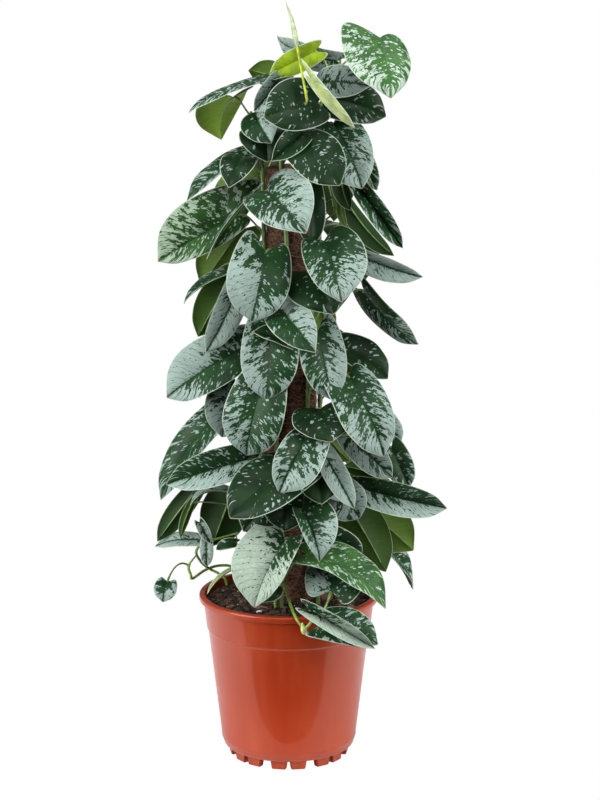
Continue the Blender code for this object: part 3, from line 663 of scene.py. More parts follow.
# %% Potting mix
SOIL_EDGE = POT_HEIGHT - 8.0 * MM
SOIL_HEAP = 6.0 * MM
SOIL_LUMPS = ((1.6 * MM, 11.0 * MM), (0.9 * MM, 3.5 * MM), (0.4 * MM, 1.4 * MM))  # rise and size
POLE_X = 3.0 * MM


def soil_height(radius):
    """Height of the heaped potting mix."""
    return SOIL_EDGE + SOIL_HEAP * (0.5 + 0.5 * math.cos(math.pi * min(1.0, radius / MOUTH_RADIUS)))


def soil_surface(across, back):
    """Height of the mix with its lumps, at a place on it."""
    place = Vector((across, back, 0.0))
    height = soil_height(place.length)
    for rise, size in SOIL_LUMPS:
        height += rise * noise.noise(place / size)
    return height


def soil_mesh():
    """The mix as one closed body: a lumpy top over a plain tapering side."""
    low = FOOT_HEIGHT + WALL + GAP
    inner = WALL + GAP
    edge = body_radius(SOIL_EDGE) - inner - 0.3 * MM
    rings = 70
    profile = [(edge * step / rings, SOIL_EDGE) for step in range(rings + 1)]
    profile += [(body_radius(BAND_LOW) - inner - 0.3 * MM, BAND_LOW)]
    profile += [(body_radius(low + HEEL) - inner - 1.0 * MM, low + HEEL)]
    profile += [(body_radius(low) - inner - HEEL - 1.0 * MM, low), (0.0, low)]
    mesh = turned("mix", profile, 160)
    for vert in mesh.vertices:
        if vert.co.z > SOIL_EDGE - 1 * MM:
            vert.co.z = soil_surface(vert.co.x, vert.co.y)
    return mesh


print("mix heaped to", round(soil_height(0.0) / MM, 1), "mm")

# %% Kinds of loose pieces
def lump(size, stretch, turn, draw, sides=1):
    """A small irregular lump: an icosphere whose corners are moved at random."""
    bm = bmesh.new()
    bmesh.ops.create_icosphere(bm, subdivisions=sides, radius=1.0)
    shift = Vector([draw.uniform(0, 50) for _ in range(3)])
    for vert in bm.verts:
        vert.co *= 0.92 + 0.42 * noise.noise(vert.co * 1.5 + shift) + draw.uniform(-0.05, 0.05)
    bmesh.ops.scale(bm, verts=bm.verts, vec=Vector(stretch) * size)
    bmesh.ops.rotate(bm, verts=bm.verts, matrix=turn)
    verts = [vert.co.copy() for vert in bm.verts]
    faces = [[vert.index for vert in face.verts] for face in bm.faces]
    bm.free()
    return verts, faces


CRUMBS_OUT = 82.0 * MM
CRUMBS_CLEAR = 28.0 * MM
MIX_KINDS = (
    # share of the pieces, size in mm, stretch, colour
    (0.62, (0.6, 2.2), (1.0, 0.9, 0.8), (0.013, 0.007, 0.004)),
    (0.20, (1.0, 3.4), (1.5, 0.9, 0.6), (0.046, 0.022, 0.011)),
    (0.11, (0.8, 2.4), (2.6, 0.45, 0.35), (0.130, 0.066, 0.032)),
    (0.02, (0.6, 1.1), (1.1, 1.0, 0.9), (0.560, 0.530, 0.480)),
    (0.05, (1.2, 3.0), (1.2, 1.0, 0.6), (0.060, 0.048, 0.038)),
)
LOOSE_PIECES = (
    # across and back in mm, size in mm, stretch, turn in degrees, colour
    ((37, -13), 8.5, (1.1, 0.8, 1.0), 20, (0.075, 0.038, 0.022)),
    ((56, -21), 5.5, (1.2, 0.8, 0.7), -30, (0.110, 0.058, 0.032)),
    ((-28, -43), 5.2, (1.5, 0.8, 0.5), -25, (0.150, 0.088, 0.052)),
    ((-29, -54), 3.6, (1.4, 0.8, 0.6), 10, (0.520, 0.560, 0.540)),
    ((-60, -34), 4.0, (1.3, 0.8, 0.6), 60, (0.120, 0.060, 0.030)),
    ((66, -38), 5.0, (1.2, 0.9, 0.6), -50, (0.160, 0.100, 0.060)),
)
print("kinds of loose pieces:", len(MIX_KINDS))

# %% Crumbs, chips and perlite
def scatter_mix(count=1500, seed=5):
    """Loose pieces lying on the mix, clear of the pole."""
    draw = random.Random(seed)
    bunch = Bunch("tone")
    for _ in range(count):
        radius = CRUMBS_OUT * math.sqrt(draw.uniform(0.1, 1.0))
        bearing = draw.uniform(0, 2 * math.pi)
        across, back = radius * math.cos(bearing), radius * math.sin(bearing)
        if math.hypot(across - POLE_X, back) < CRUMBS_CLEAR:
            continue
        pick, shares = draw.random(), 0.0
        for share, sizes, stretch, colour in MIX_KINDS:
            shares += share
            if pick <= shares:
                break
        size = draw.uniform(*sizes) * MM
        spin = Matrix.Rotation(draw.uniform(0, 6.28), 3, "Z")
        tilt = Matrix.Rotation(draw.uniform(-0.5, 0.5), 3, "X")
        verts, faces = lump(size, stretch, spin @ tilt, draw, 2 if size > 2.2 * MM else 1)
        place = Vector((across, back, soil_surface(across, back) + 0.25 * size))
        shade = draw.uniform(0.7, 1.3)
        bunch.add([vert + place for vert in verts], faces, tone=tuple(part * shade for part in colour))
    for (across, back), size, stretch, angle, colour in LOOSE_PIECES:
        across, back, size = across * MM, back * MM, size * MM
        turn = Matrix.Rotation(math.radians(angle), 3, "Z")
        verts, faces = lump(size, stretch, turn, draw, 3)
        place = Vector((across, back, soil_surface(across, back) + 0.1 * size))
        bunch.add([vert + place for vert in verts], faces, tone=colour)
    return bunch.mesh("crumbs")


crumbs = scatter_mix()
print("crumbs: faces", len(crumbs.polygons))

# %% Potting mix material
def make_mix_material(name, loose):
    """Dark damp mix; loose pieces take their own colours from the tone attribute."""
    made, tree, shader = new_material(name, (0.034, 0.020, 0.012), 0.95)
    marks = place_group(tree, GRAIN, Vector=object_place(tree), Broad_Scale=160.0, Fine_Scale=900.0)
    dark = attribute(tree, "tone") if loose else (0.008, 0.005, 0.003, 1)
    light = tinted(tree, dark, 1.7, 1.6, 1.5) if loose else (0.056, 0.031, 0.012, 1)
    colour = mixed(tree, ramp(tree, marks["Broad"], 0.42, 0.68), dark, light)
    feed(tree, shader.inputs["Base Color"], colour)
    add_bump(tree, shader, maths(tree, "ADD", marks["Broad"], marks["Fine"]), 0.7, 0.5 * MM)
    return made


add_piece("potting_mix", soil_mesh(), [make_mix_material("damp_mix", False)], ["soil"], 60.0)
add_piece("loose_crumbs", crumbs, [make_mix_material("crumb_mix", True)], (), 50.0)

# %% [markdown]
# ## Coir pole
#
# The pole is a stake with a sleeve of matted coconut fibre. A noisy cylinder alone looks like bark, so
# real strands lie over it: thin, springy, reddish-brown tubes that curl away and sink back in, most of
# them running round the pole as the mat does.

# %% Coir sleeve
COIR_RADIUS = 27.0 * MM
COIR_LOW = 70.0 * MM
STAKE_RADIUS = 8.0 * MM
STAKE_LOW = 30.0 * MM
POLE_TOP = 632.0 * MM
COIR_TOP = POLE_TOP - 3.0 * MM


def round_pole(radius, turn, height):
    """A place round the pole, by its turn from the front toward the right."""
    return Vector((POLE_X + radius * math.sin(turn), -radius * math.cos(turn), height))


def coir_mesh():
    """Sleeve of the pole: a ring section with a lumpy outside."""
    inner = STAKE_RADIUS + GAP
    rows = 260
    eased = COIR_TOP - 1 * MM
    profile = [(inner, eased), (COIR_RADIUS - 4 * MM, COIR_TOP), (COIR_RADIUS - 1 * MM, eased)]
    for row in range(rows + 1):
        fall = (COIR_TOP - COIR_LOW - 4 * MM) * row / rows
        profile.append((COIR_RADIUS - 0.6 * MM, COIR_TOP - 2 * MM - fall))
    profile += [(COIR_RADIUS - 3 * MM, COIR_LOW), (inner, COIR_LOW), (inner, eased)]
    mesh = turned("sleeve", profile, 96)
    for vert in mesh.vertices:
        out = Vector((vert.co.x, vert.co.y, 0.0))
        if out.length > COIR_RADIUS - 2 * MM:
            bumps = 1.1 * noise.noise(vert.co / (9 * MM)) + 0.7 * noise.noise(vert.co / (3.2 * MM)) - 0.5
            vert.co += out.normalized() * bumps * MM
        vert.co.x += POLE_X
    bm = bmesh.new()
    bm.from_mesh(mesh)
    bmesh.ops.remove_doubles(bm, verts=bm.verts, dist=0.001 * MM)
    bmesh.ops.recalc_face_normals(bm, faces=bm.faces)
    bm.to_mesh(mesh)
    bm.free()
    return mesh


print("coir sleeve", round((COIR_TOP - COIR_LOW) / MM), "mm long")

# %% Coir strands
def fibre_mesh(count=2600, seed=3):
    """Strands of coir over the sleeve."""
    draw = random.Random(seed)
    bunch = Bunch("tone")
    for _ in range(count):
        turn = draw.uniform(0, 2 * math.pi)
        height = draw.uniform(SOIL_EDGE - 2 * MM, COIR_TOP - 2 * MM)
        length = draw.uniform(12, 38) * MM
        slope = draw.gauss(0.0, 0.75)
        stand = draw.uniform(0.0, 1.0) ** 3 * 3.2 * MM
        bend = draw.uniform(-0.8, 0.8)
        path = []
        for step in range(7):
            share = step / 6
            along = length * (share - 0.5)
            angle = turn + along * math.cos(slope + bend * (share - 0.5)) / COIR_RADIUS
            rise = along * math.sin(slope + bend * (share - 0.5))
            radius = COIR_RADIUS - 0.5 * MM + stand * math.sin(math.pi * share) ** 1.5
            high = min(COIR_TOP + 1 * MM, height + rise)
            path.append(round_pole(radius, angle, high))
        thick = draw.uniform(0.10, 0.22) * MM
        radii = [thick * (0.4 + 0.6 * math.sin(math.pi * (0.1 + 0.8 * step / 6))) for step in range(7)]
        verts, faces = tube(path, radii, 3)
        shade = draw.uniform(0.45, 1.35)
        warm = draw.uniform(0.85, 1.15)
        bunch.add(verts, faces, tone=(0.19 * shade * warm, 0.088 * shade, 0.042 * shade))
    return bunch.mesh("strands")


strands = fibre_mesh()
print("strands: faces", len(strands.polygons))

# %% Coir and stake materials
def make_coir_material(name, strands):
    made, tree, shader = new_material(name, (0.12, 0.05, 0.022), 0.9)
    place = object_place(tree)
    swept = node(tree, "ShaderNodeMapping", Vector=place, Scale=(1.0, 1.0, 2.6))
    marks = place_group(tree, GRAIN, Vector=swept, Broad_Scale=210.0, Fine_Scale=900.0)
    dark = attribute(tree, "tone") if strands else (0.016, 0.007, 0.0035, 1)
    light = tinted(tree, dark, 1.5, 1.45, 1.4) if strands else (0.125, 0.052, 0.024, 1)
    colour = mixed(tree, ramp(tree, marks["Broad"], 0.38, 0.70), dark, light)
    feed(tree, shader.inputs["Base Color"], colour)
    add_bump(tree, shader, marks["Broad"], 0.8, 0.8 * MM)
    return made


def make_wood():
    made, tree, shader = new_material("stake_wood", (0.30, 0.19, 0.10), 0.7)
    place = node(tree, "ShaderNodeMapping", Vector=object_place(tree), Scale=(1.0, 1.0, 0.06))
    marks = place_group(tree, GRAIN, Vector=place, Broad_Scale=300.0, Fine_Scale=1400.0)
    colour = mixed(tree, marks["Broad"], (0.20, 0.115, 0.055, 1), (0.38, 0.25, 0.135, 1))
    feed(tree, shader.inputs["Base Color"], colour)
    add_bump(tree, shader, marks["Fine"], 0.3, 0.3 * MM)
    return made


def stake_mesh():
    """Round stake with its top edge eased."""
    ease = 0.8 * MM
    profile = [(0.0, POLE_TOP), *arc((STAKE_RADIUS - ease, POLE_TOP - ease), ease, 90, 0, 4)]
    profile += [(STAKE_RADIUS, STAKE_LOW), (0.0, STAKE_LOW)]
    mesh = turned("stake", profile, 48)
    mesh.transform(Matrix.Translation((POLE_X, 0.0, 0.0)))
    return mesh


add_piece("stake", stake_mesh(), [make_wood()], ["pole_stake"])
coir_mat = make_coir_material("coir_mat", False)
add_piece("coir_sleeve", coir_mesh(), [coir_mat], ["pole_coir"], 70.0)
add_piece("coir_strands", strands, [make_coir_material("coir_strand", True)])

# %% [markdown]
# ## How the stems climb
#
# Six stems leave the mix round the pole and climb it, each keeping to its own side and swinging a little
# from left to right as it goes. Above the pole they lean out to a tip. Two more shoots hang over the rim,
# and those are free curves through a few places.

# %% Stem sizes
STEM_RADIUS = 2.3 * MM
STALK_RADIUS = 1.2 * MM
ROOT_RADIUS = 42.0 * MM
ROOT_DEPTH = 30.0 * MM
STEM_FREE = SOIL_EDGE + SOIL_HEAP + 2.0 * MM
LEAN_HEIGHT = 40.0 * MM
TURN_PITCH = 420.0 * MM
STALK_DROPS = (18, 32, 6, 46)
STALK_BULGES = (0, 8, -8, 16, -16, 26, -26)
SHOOT_RADIUS = 1.5 * MM

Climber = namedtuple("Climber", "name bearing swing top")

CLIMBERS = (
    Climber("vine_front_left", -20, 12, (17, 700, 22)),
    Climber("vine_front_right", 38, 8, (38, 724, 8)),
    Climber("vine_left", -80, 12, (-38, 686, 2)),
    Climber("vine_right", 95, 10, (52, 668, -10)),
    Climber("vine_back_right", 150, 12, (26, 672, -44)),
    Climber("vine_back_left", -145, 10, (-16, 690, -38)),
)

SHOOTS = {
    "shoot_front": (
        (
            (-14, 140, 44), (-14, 175, 44), (-10, 190, 46), (-3, 178, 56),
            (1, 164, 74), (5, 153, 91), (10, 143, 100), (16, 134, 102),
        ),
        ((16, 134, 102), (22, 140, 104), (27, 147, 104), (33, 149, 103)),
    ),
    "shoot_left": (
        (
            (-66, 150, -42), (-66, 186, -42), (-74, 196, -45), (-83, 201, -46), (-92, 208, -38),
            (-98, 219, -24), (-94, 227, -16), (-87, 231, -10), (-71, 236, -6), (-54, 241, -2),
        ),
        (
            (-50, 165, -56), (-50, 194, -56), (-60, 204, -58), (-75, 205, -56), (-89, 200, -46),
            (-102, 191, -26), (-104, 195, -24), (-106, 205, -22), (-97, 218, -23),
        ),
    ),
}
BULB_AT = SHOOTS["shoot_front"][1][0]
SHOOT_LEAVES = {
    "shoot_front": ("long_front", "low_round", "rim_folded", "rim_behind"),
    "shoot_left": ("tiny_heart", "small_silver", "tiny_flecked", "tiny_folded", "tiny_green"),
}


print("climbing stems:", len(CLIMBERS), "hanging shoots:", len(SHOOTS))

# %% Paths of the stems
def shoot_path(run, between):
    """A smooth curve through the places of a hanging shoot, with so many steps between them."""
    points = [sight(*place) for place in run]
    ends = [points[0] * 2 - points[1], *points, points[-1] * 2 - points[-2]]
    path = []
    for before, start, stop, after in zip(ends, ends[1:], ends[2:], ends[3:]):
        bend = 2 * before - 5 * start + 4 * stop - after
        twist = 3 * start - 3 * stop + after - before
        for step in range(between):
            t = step / between
            path.append(start + 0.5 * ((stop - before) * t + bend * t**2 + twist * t**3))
    return [*path, points[-1]]


def stem_place(climber, height):
    """Centre of a climbing stem at a height, hugging the pole and leaving its top for the tip."""
    hug = COIR_RADIUS + 2 * GAP + STEM_RADIUS
    above = max(height, STEM_FREE)
    swing = climber.swing * math.sin(2 * math.pi * above / TURN_PITCH)
    turn = math.radians(climber.bearing + swing)
    lean = min(1.0, (above - STEM_FREE) / LEAN_HEIGHT)
    radius = ROOT_RADIUS + (hug - ROOT_RADIUS) * (3 * lean**2 - 2 * lean**3)
    place = round_pole(radius, turn, height)
    tip = sight(*climber.top)
    free = (height - POLE_TOP) / (tip.z - POLE_TOP)
    if free > 0.0:
        ease = free * free * (3 - 2 * free)
        place.x += (tip.x - place.x) * ease
        place.y += (tip.y - place.y) * ease
    return place


def climber_path(climber, steps=(1, 3, 7, 3)):
    """Path of a climbing stem: in the mix, out to the pole, up it, and on to the tip."""
    tip = sight(*climber.top)
    ends = (SOIL_EDGE - ROOT_DEPTH, STEM_FREE, STEM_FREE + LEAN_HEIGHT, POLE_TOP, tip.z)
    heights = [ends[0]]
    for low, high, count in zip(ends, ends[1:], steps):
        heights += [low + (high - low) * (step + 1) / count for step in range(count)]
    return [stem_place(climber, height) for height in heights]


print("places along a stem:", len(climber_path(CLIMBERS[0])))

# %% [markdown]
# ## The shape of a leaf
#
# Each blade is a heart with a drawn-out tip. Two numbers find a place on it: a turn that runs from the
# notch, 0, round to the tip, 180 degrees, and a side from -1 at one margin to 1 at the other. The rows
# that this gives bend back into the two lobes and sweep on toward the tip, just as the side veins do, so
# the same two numbers later carry the silver pattern. Fold lifts the halves off the rib, arch bends the
# rib, and roll turns the whole blade about its own length.

# %% Leaf shape
LOBE = 0.85
TIP_START = 0.80
TIP_PINCH = 0.55
ROWS = (28, 70, 110, 147)
SMALL_ROWS = (40, 90, 140)
SMALL = 30 * MM
CLEAR = 2.4 * MM

Leaf = namedtuple("Leaf", "name base tip width roll fold arch face oblique")


def leaf_axes(leaf):
    """Unit vectors across the blade, along it and out of its upper face."""
    along = (leaf.tip - leaf.base).normalized()
    look = leaf.face
    if look is None:
        look = EYE - (leaf.base + leaf.tip) / 2
    up = (look - along * look.dot(along)).normalized()
    up = Matrix.Rotation(math.radians(leaf.roll), 3, along) @ up
    return along.cross(up), along, up


def half_width(leaf, turn):
    """Half the blade's width at a turn; the 0.89 makes its widest place as wide as the leaf."""
    rib = math.sin(turn / 2) ** 2
    pinch = 1 - TIP_PINCH * max(0.0, (rib - TIP_START) / (1 - TIP_START)) ** 2
    return leaf.width / 2 * math.sin(turn) ** 0.82 * math.cos(turn / 2) ** 0.38 / 0.89 * pinch


def blade_place(leaf, axes, turn, side):
    """A place on the blade, by its turn and side."""
    across, along, up = axes
    length = (leaf.tip - leaf.base).length
    lobe = LOBE * math.sin(turn) * math.cos(turn / 2) ** 12
    skew = 1 + leaf.oblique * side
    x = side * half_width(leaf, turn) * skew
    q = math.sin(turn / 2) ** 2 - lobe * abs(side) * skew**2
    fold = math.radians(leaf.fold)
    lift = abs(x) * math.sin(fold) + leaf.arch * 4 * q * (1 - q)
    return leaf.base + across * (x * math.cos(fold)) + along * (q * length) + up * lift


print("leaf shape ready")

# %% Plain blade and stalk path
def corner_normals(places, faces):
    """A normal at each place, from the faces that meet there."""
    normals = [Vector() for _ in places]
    for face in faces:
        facing = (places[face[1]] - places[face[0]]).cross(places[face[2]] - places[face[0]])
        for index in face:
            normals[index] += facing
    return [normal.normalized() for normal in normals]


def plain_blade(leaf, thickness):
    """The plain leaf of the frame as a closed bmesh, to find what it would touch."""
    axes = leaf_axes(leaf)
    turns = [math.radians(row) for row in (SMALL_ROWS if leaf.width < SMALL else ROWS)]
    rows = [[leaf.base]]
    rows += [[blade_place(leaf, axes, turn, side) for side in (-1, 0, 1)] for turn in turns]
    rows += [[leaf.tip]]
    places = [place for row in rows for place in row]
    starts = [sum(len(row) for row in rows[:index]) for index in range(len(rows))]
    last = len(rows) - 1
    top = []
    for step in range(2):
        top.append((0, starts[1] + step + 1, starts[1] + step))
        for row in range(1, last - 1):
            a = starts[row] + step
            b = starts[row + 1] + step
            top += [(a, a + 1, b), (a + 1, b + 1, b)] if step < 1 else [(a, a + 1, b + 1), (a, b + 1, b)]
        top.append((starts[last - 1] + step, starts[last - 1] + step + 1, starts[last]))
    right = [starts[row] + 2 for row in range(1, last)]
    left = [starts[row] for row in range(1, last)]
    edge = [0, *right, starts[last], *reversed(left)]
    count = len(places)
    bm = bmesh.new()
    shifts = [normal * (thickness / 2) for normal in corner_normals(places, top)]
    verts = [bm.verts.new(place + shift) for place, shift in zip(places, shifts)]
    verts += [bm.verts.new(place - shift) for place, shift in zip(places, shifts)]
    for face in top:
        bm.faces.new([verts[index] for index in face])
        bm.faces.new([verts[index + count] for index in reversed(face)])
    for a, b in zip(edge, [*edge[1:], edge[0]]):
        bm.faces.new((verts[a], verts[a + count], verts[b + count]))
        bm.faces.new((verts[a], verts[b + count], verts[b]))
    return bm


def stalk_path(start, leaf, axes, bulge, outward, steps=3):
    """Leaf stalk: out of the stem, over to the notch from behind, and on along the rib."""
    across, along, up = axes
    reach = (leaf.base - start).length
    aside = outward.cross(UP)
    hook = min(1.0, leaf.width / (50 * MM))
    first = start + (outward * 0.30 + Vector((0, 0, 0.25))) * reach + aside * bulge
    second = leaf.base - (up * 9 + along * 11) * MM * hook + aside * (bulge / 2)
    path = []
    for step in range(steps + 1):
        t = step / steps
        bowed = first * (3 * t * (1 - t) ** 2) + second * (3 * t**2 * (1 - t))
        path.append(start * (1 - t) ** 3 + bowed + leaf.base * t**3)
    path[-1] = leaf.base - up * STALK_RADIUS
    return [*path, blade_place(leaf, axes, math.radians(40), 0.0) - up * (0.7 * STALK_RADIUS)]


print("plain blade ready")

# %% [markdown]
# ## Where each leaf sits
#
# The leaves of the front were read off the plant one by one: where the blade meets its stalk, where its
# tip is, how wide it is and how it is turned. The last word of each row names its look: its markings,
# and for leaves in shadow and one lit from behind, painted shade and painted light. The far side isn't seen
# from the front, so there a rule sets the leaves out with a golden-angle turn, as real stems do, and a
# seeded draw varies their size and droop.

# %% Leaves of the front
FRONT_LEAVES = (
    ("spire", (19, 698, 60), (0, 798, 14), 14, 0, 80, 2, "young"),
    ("lime", (27, 746, 9), (-19, 723, 12), 26, 2, 8, 3, "lime"),
    ("crown_heart", (93, 760, 35), (105, 701, 88), 69, -21, 4, 6, "bright_tipped"),
    ("half_furled", (23, 719, 46), (68, 669, 58), 14, 25, 12, 3, "pale"),
    ("crown_dark", (30, 694, 36), (-24, 680, 60), 56, 16, 4, 5, "sparse"),
    ("crown_silver", (34, 714, 14), (83, 712, 42), 36, -18, 8, 8, "grey"),
    ("crown_right", (40, 699, 8), (100, 681, 20), 49, -22, 11, 8, "shaded_fleck"),
    ("crown_behind", (48, 738, -15), (-12, 760, -24), 48, -58, 10, 5, "silver"),
    ("crown_long", (-22, 719, 4), (-102, 687, 8), 52, 81, 4, 3, "fleck"),
    ("crown_under", (-56, 700, 4), (-70, 659, -22), 62, 135, 15, 8, "painted_backlight"),
    ("crown_scrap", (-3, 714, -12), (-40, 728, -18), 34, 150, 10, 5, "plain"),
    ("crown_folded", (-11, 716, 22), (-35, 686, 32), 34, -10, 40, 5, "silver"),
    ("left_ear", (-33, 685, 15), (-17, 653, 54), 48, 16, 14, 8, "other_half"),
    ("left_cup", (-23, 665, 0), (-21, 633, 42), 56, 0, 10, 10, "dark"),
    ("mid_slip", (15, 665, 28), (-17, 635, 52), 32, 0, 35, 6, "dark"),
    ("mid_oval", (15, 654, 35), (53, 610, 62), 54, -18, 6, 8, "sparse"),
    ("right_big", (46, 673, 10), (76, 607, 40), 64, -16, 12, 8, "streaked"),
    ("left_round", (-46, 639, 22), (-61, 609, 58), 35, 18, 6, 8, "sparse"),
    ("left_blade", (-39, 640, 4), (-104, 593, 12), 44, 66, 20, 5, "fleck"),
    ("left_back", (-33, 618, -12), (-79, 596, -26), 40, 180, 10, 5, "plain"),
    ("big_left", (-52, 579, 16), (-135, 531, 25), 60, 8, 20, 10, "fresh"),
    ("edge_left", (-38, 600, 30), (-84, 533, 38), 22, 84, 10, 4, "fleck"),
    ("silver_heart", (-23, 604, 36), (17, 563, 82), 68, -15, 14, 8, "mottled"),
    ("behind_heart", (22, 606, 34), (24, 547, 48), 32, 0, 12, 6, "dark"),
    ("under_left", (-50, 564, 0), (-90, 506, -10), 54, 180, 10, 6, "plain"),
    ("slip_left", (-59, 520, 12), (-109, 488, 16), 26, 70, 15, 5, "fleck"),
    ("split_heart", (-23, 540, 56), (-38, 468, 66), 65, -2, 8, 12, "half_tipped"),
    ("wide_heart", (36, 551, 46), (55, 490, 80), 65, -12, 12, 8, "tipped"),
    ("deep_dark", (24, 520, 36), (47, 478, 70), 70, -14, 4, 6, "sparse"),
    ("lime_scrap", (35, 482, 12), (44, 458, 6), 24, 170, 5, 4, "plain"),
    ("right_silver", (66, 541, 4), (139, 515, 8), 34, 20, 40, 6, "silver"),
    ("right_folded", (75, 605, 12), (118, 545, 16), 38, 0, 55, 6, "fleck"),
    ("right_under", (63, 587, 0), (109, 537, 4), 26, 150, 20, 6, "deep_shade_under"),
    ("right_narrow", (53, 624, 18), (64, 584, 20), 22, 150, 15, 5, "deep_shade_under"),
    ("pale_narrow", (53, 591, 8), (60, 566, 8), 10, 160, 10, 4, "plain"),
    ("hair_tip", (65, 657, -16), (91, 605, -18), 26, 0, 20, 5, "fleck"),
    ("hanging_twist", (80, 497, 14), (135, 444, 28), 46, 58, 4, 4, "speckled"),
    ("left_long", (-52, 508, 20), (-86, 436, 31), 34, -18, 16, 8, "silver"),
    ("left_green", (-59, 512, 0), (-94, 452, 0), 42, 165, 10, 6, "shaded"),
    ("silver_wing", (-50, 437, 26), (-127, 387, 32), 58, 14, 14, 14, "half_tipped"),
    ("centre_split", (-19, 461, 40), (-23, 385, 52), 60, -4, 10, 8, "mixed_half"),
    ("red_tip", (-8, 481, 34), (27, 437, 72), 46, -4, 16, 8, "other_half"),
    ("dark_flap", (8, 442, 40), (-37, 457, 58), 26, 40, 20, 5, "dark"),
    ("centre_right", (31, 459, 38), (45, 385, 56), 48, 0, 12, 8, "mottled"),
    ("right_dark", (58, 441, 10), (104, 408, 16), 42, -34, 16, 4, "sparse"),
    ("right_large", (64, 408, 44), (100, 324, 66), 61, -20, 14, 10, "streaked"),
    ("speckled", (-28, 398, 60), (-45, 324, 68), 64, 10, 8, 8, "speckled"),
    ("grey_behind", (-53, 401, 14), (-70, 345, 26), 56, 0, 10, 6, "grey"),
    ("notch_dark", (33, 375, 48), (45, 340, 82), 66, -10, 4, 5, "sparse"),
    ("fine_fleck", (17, 343, 66), (-10, 285, 84), 52, 4, 20, 8, "streaked"),
    ("long_left", (-70, 372, 14), (-136, 277, 20), 44, 40, 12, 10, "fleck"),
    ("folded_left", (-44, 321, 30), (-129, 294, 40), 47, 4, 36, 8, "other_half"),
    ("big_dark", (6, 312, 44), (-62, 258, 68), 71, 36, 2, 8, "sparse"),
    ("slip_right", (39, 325, 40), (69, 268, 50), 28, 0, 25, 5, "silver"),
    ("slip_inner", (31, 318, 34), (57, 275, 42), 26, 0, 20, 5, "silver"),
    ("grey_right", (66, 344, 28), (109, 301, 40), 34, 0, 15, 6, "grey"),
    ("far_right", (108, 333, 4), (127, 290, 6), 32, 0, 15, 6, "fleck"),
    ("pale_edge", (93, 372, 0), (118, 340, 0), 26, 0, 10, 5, "silver"),
    ("under_yellow", (43, 342, 10), (64, 319, 10), 22, 170, 5, 4, "plain"),
    ("dark_bar", (104, 301, 4), (57, 314, 6), 24, 160, 15, 4, "shaded"),
    ("right_folded_low", (82, 288, 16), (167, 268, 18), 50, 6, 46, 6, "half"),
    ("right_green", (69, 277, 4), (132, 222, 0), 58, 190, 8, 8, "plain"),
    ("right_green_front", (65, 268, 16), (103, 199, 18), 52, 185, 14, 8, "shaded"),
    ("left_dark_under", (-102, 283, 0), (-139, 232, 2), 26, 175, 15, 6, "deep_shade_under"),
    ("silver_edge", (-62, 286, 22), (-104, 272, 24), 22, 68, 20, 8, "silver"),
    ("left_dark_mass", (-62, 279, 6), (-81, 227, 0), 52, 180, 10, 6, "deep_shade_under"),
    ("thin_green", (-102, 274, 6), (-115, 235, 8), 11, 160, 10, 4, "shaded"),
    ("pale_giant", (-4, 233, 64), (-37, 159, 98), 70, 28, 24, 8, "white"),
    ("small_heart", (14, 265, 60), (33, 211, 94), 48, -20, 34, 8, "tipped"),
    ("under_dark_a", (-20, 277, 42), (-48, 243, 60), 42, 0, 8, 6, "sparse"),
    ("under_dark_b", (-2, 279, 38), (-4, 243, 62), 50, 0, 8, 6, "sparse"),
    ("grey_star", (52, 288, 34), (75, 257, 46), 44, 0, 10, 6, "grey"),
    ("dark_inner", (31, 309, 28), (35, 272, 56), 46, 0, 8, 6, "dark"),
    ("long_front", (21, 216, 60), (104, 160, 70), 59, -52, 14, 14, "bright_fleck"),
    ("long_shadow", (44, 240, 44), (78, 218, 42), 26, 0, 15, 6, "dark"),
    ("low_round", (45, 177, 88), (58, 202, 50), 64, -20, 6, 6, "other_half"),
    ("rim_folded", (25, 154, 106), (92, 113, 114), 40, 0, 62, 5, "white"),
    ("rim_behind", (36, 139, 93), (95, 118, 94), 48, -35, 12, 8, "fleck"),
    ("tiny_heart", (-129, 187, 16), (-134, 165, 25), 25, 5, 8, 6, "mottled"),
    ("small_silver", (-94, 233, 14), (-142, 226, 20), 22, 45, 6, 5, "silver"),
    ("tiny_flecked", (-87, 232, 8), (-87, 204, 14), 15, 0, 10, 3, "silver"),
    ("tiny_folded", (-94, 252, 6), (-83, 230, 12), 13, 0, 20, 3, "grey"),
    ("tiny_green", (-56, 230, 8), (-77, 223, 8), 13, 20, 15, 5, "plain"),
    ("pale_sheath", (-56, 203, 44), (-87, 174, 68), 8, 60, 30, 4, "pale"),
    ("low_grey", (-18, 185, 58), (-29, 165, 74), 30, 0, 8, 6, "plain"),
)

# Leaves whose two halves differ: how much wider the half on side 1 is than the mean
OBLIQUE = {
    "crown_heart": 0.28, "crown_dark": 0.10, "half_furled": -0.18, "left_ear": -0.20,
    "right_big": 0.20, "big_left": 0.28, "silver_heart": -0.08, "split_heart": 0.08,
    "wide_heart": -0.14, "silver_wing": 0.09, "right_large": 0.16, "fine_fleck": -0.20,
    "pale_giant": 0.15, "small_heart": -0.25, "long_front": 0.06, "mid_oval": 0.05,
}
BACK_OBLIQUE = 0.12
print("leaves of the front:", len(FRONT_LEAVES))

# %% Leaves of the far side
BACK_LEAVES = 23
BACK_LOW = 215.0 * MM
BACK_HIGH = 690.0 * MM
BACK_SPREAD = math.radians(78)
GOLDEN_TURN = math.radians(137.5)
SEED = 11
BACK_LOOKS = ("fleck", "silver", "sparse", "half", "tipped", "other_half", "speckled")


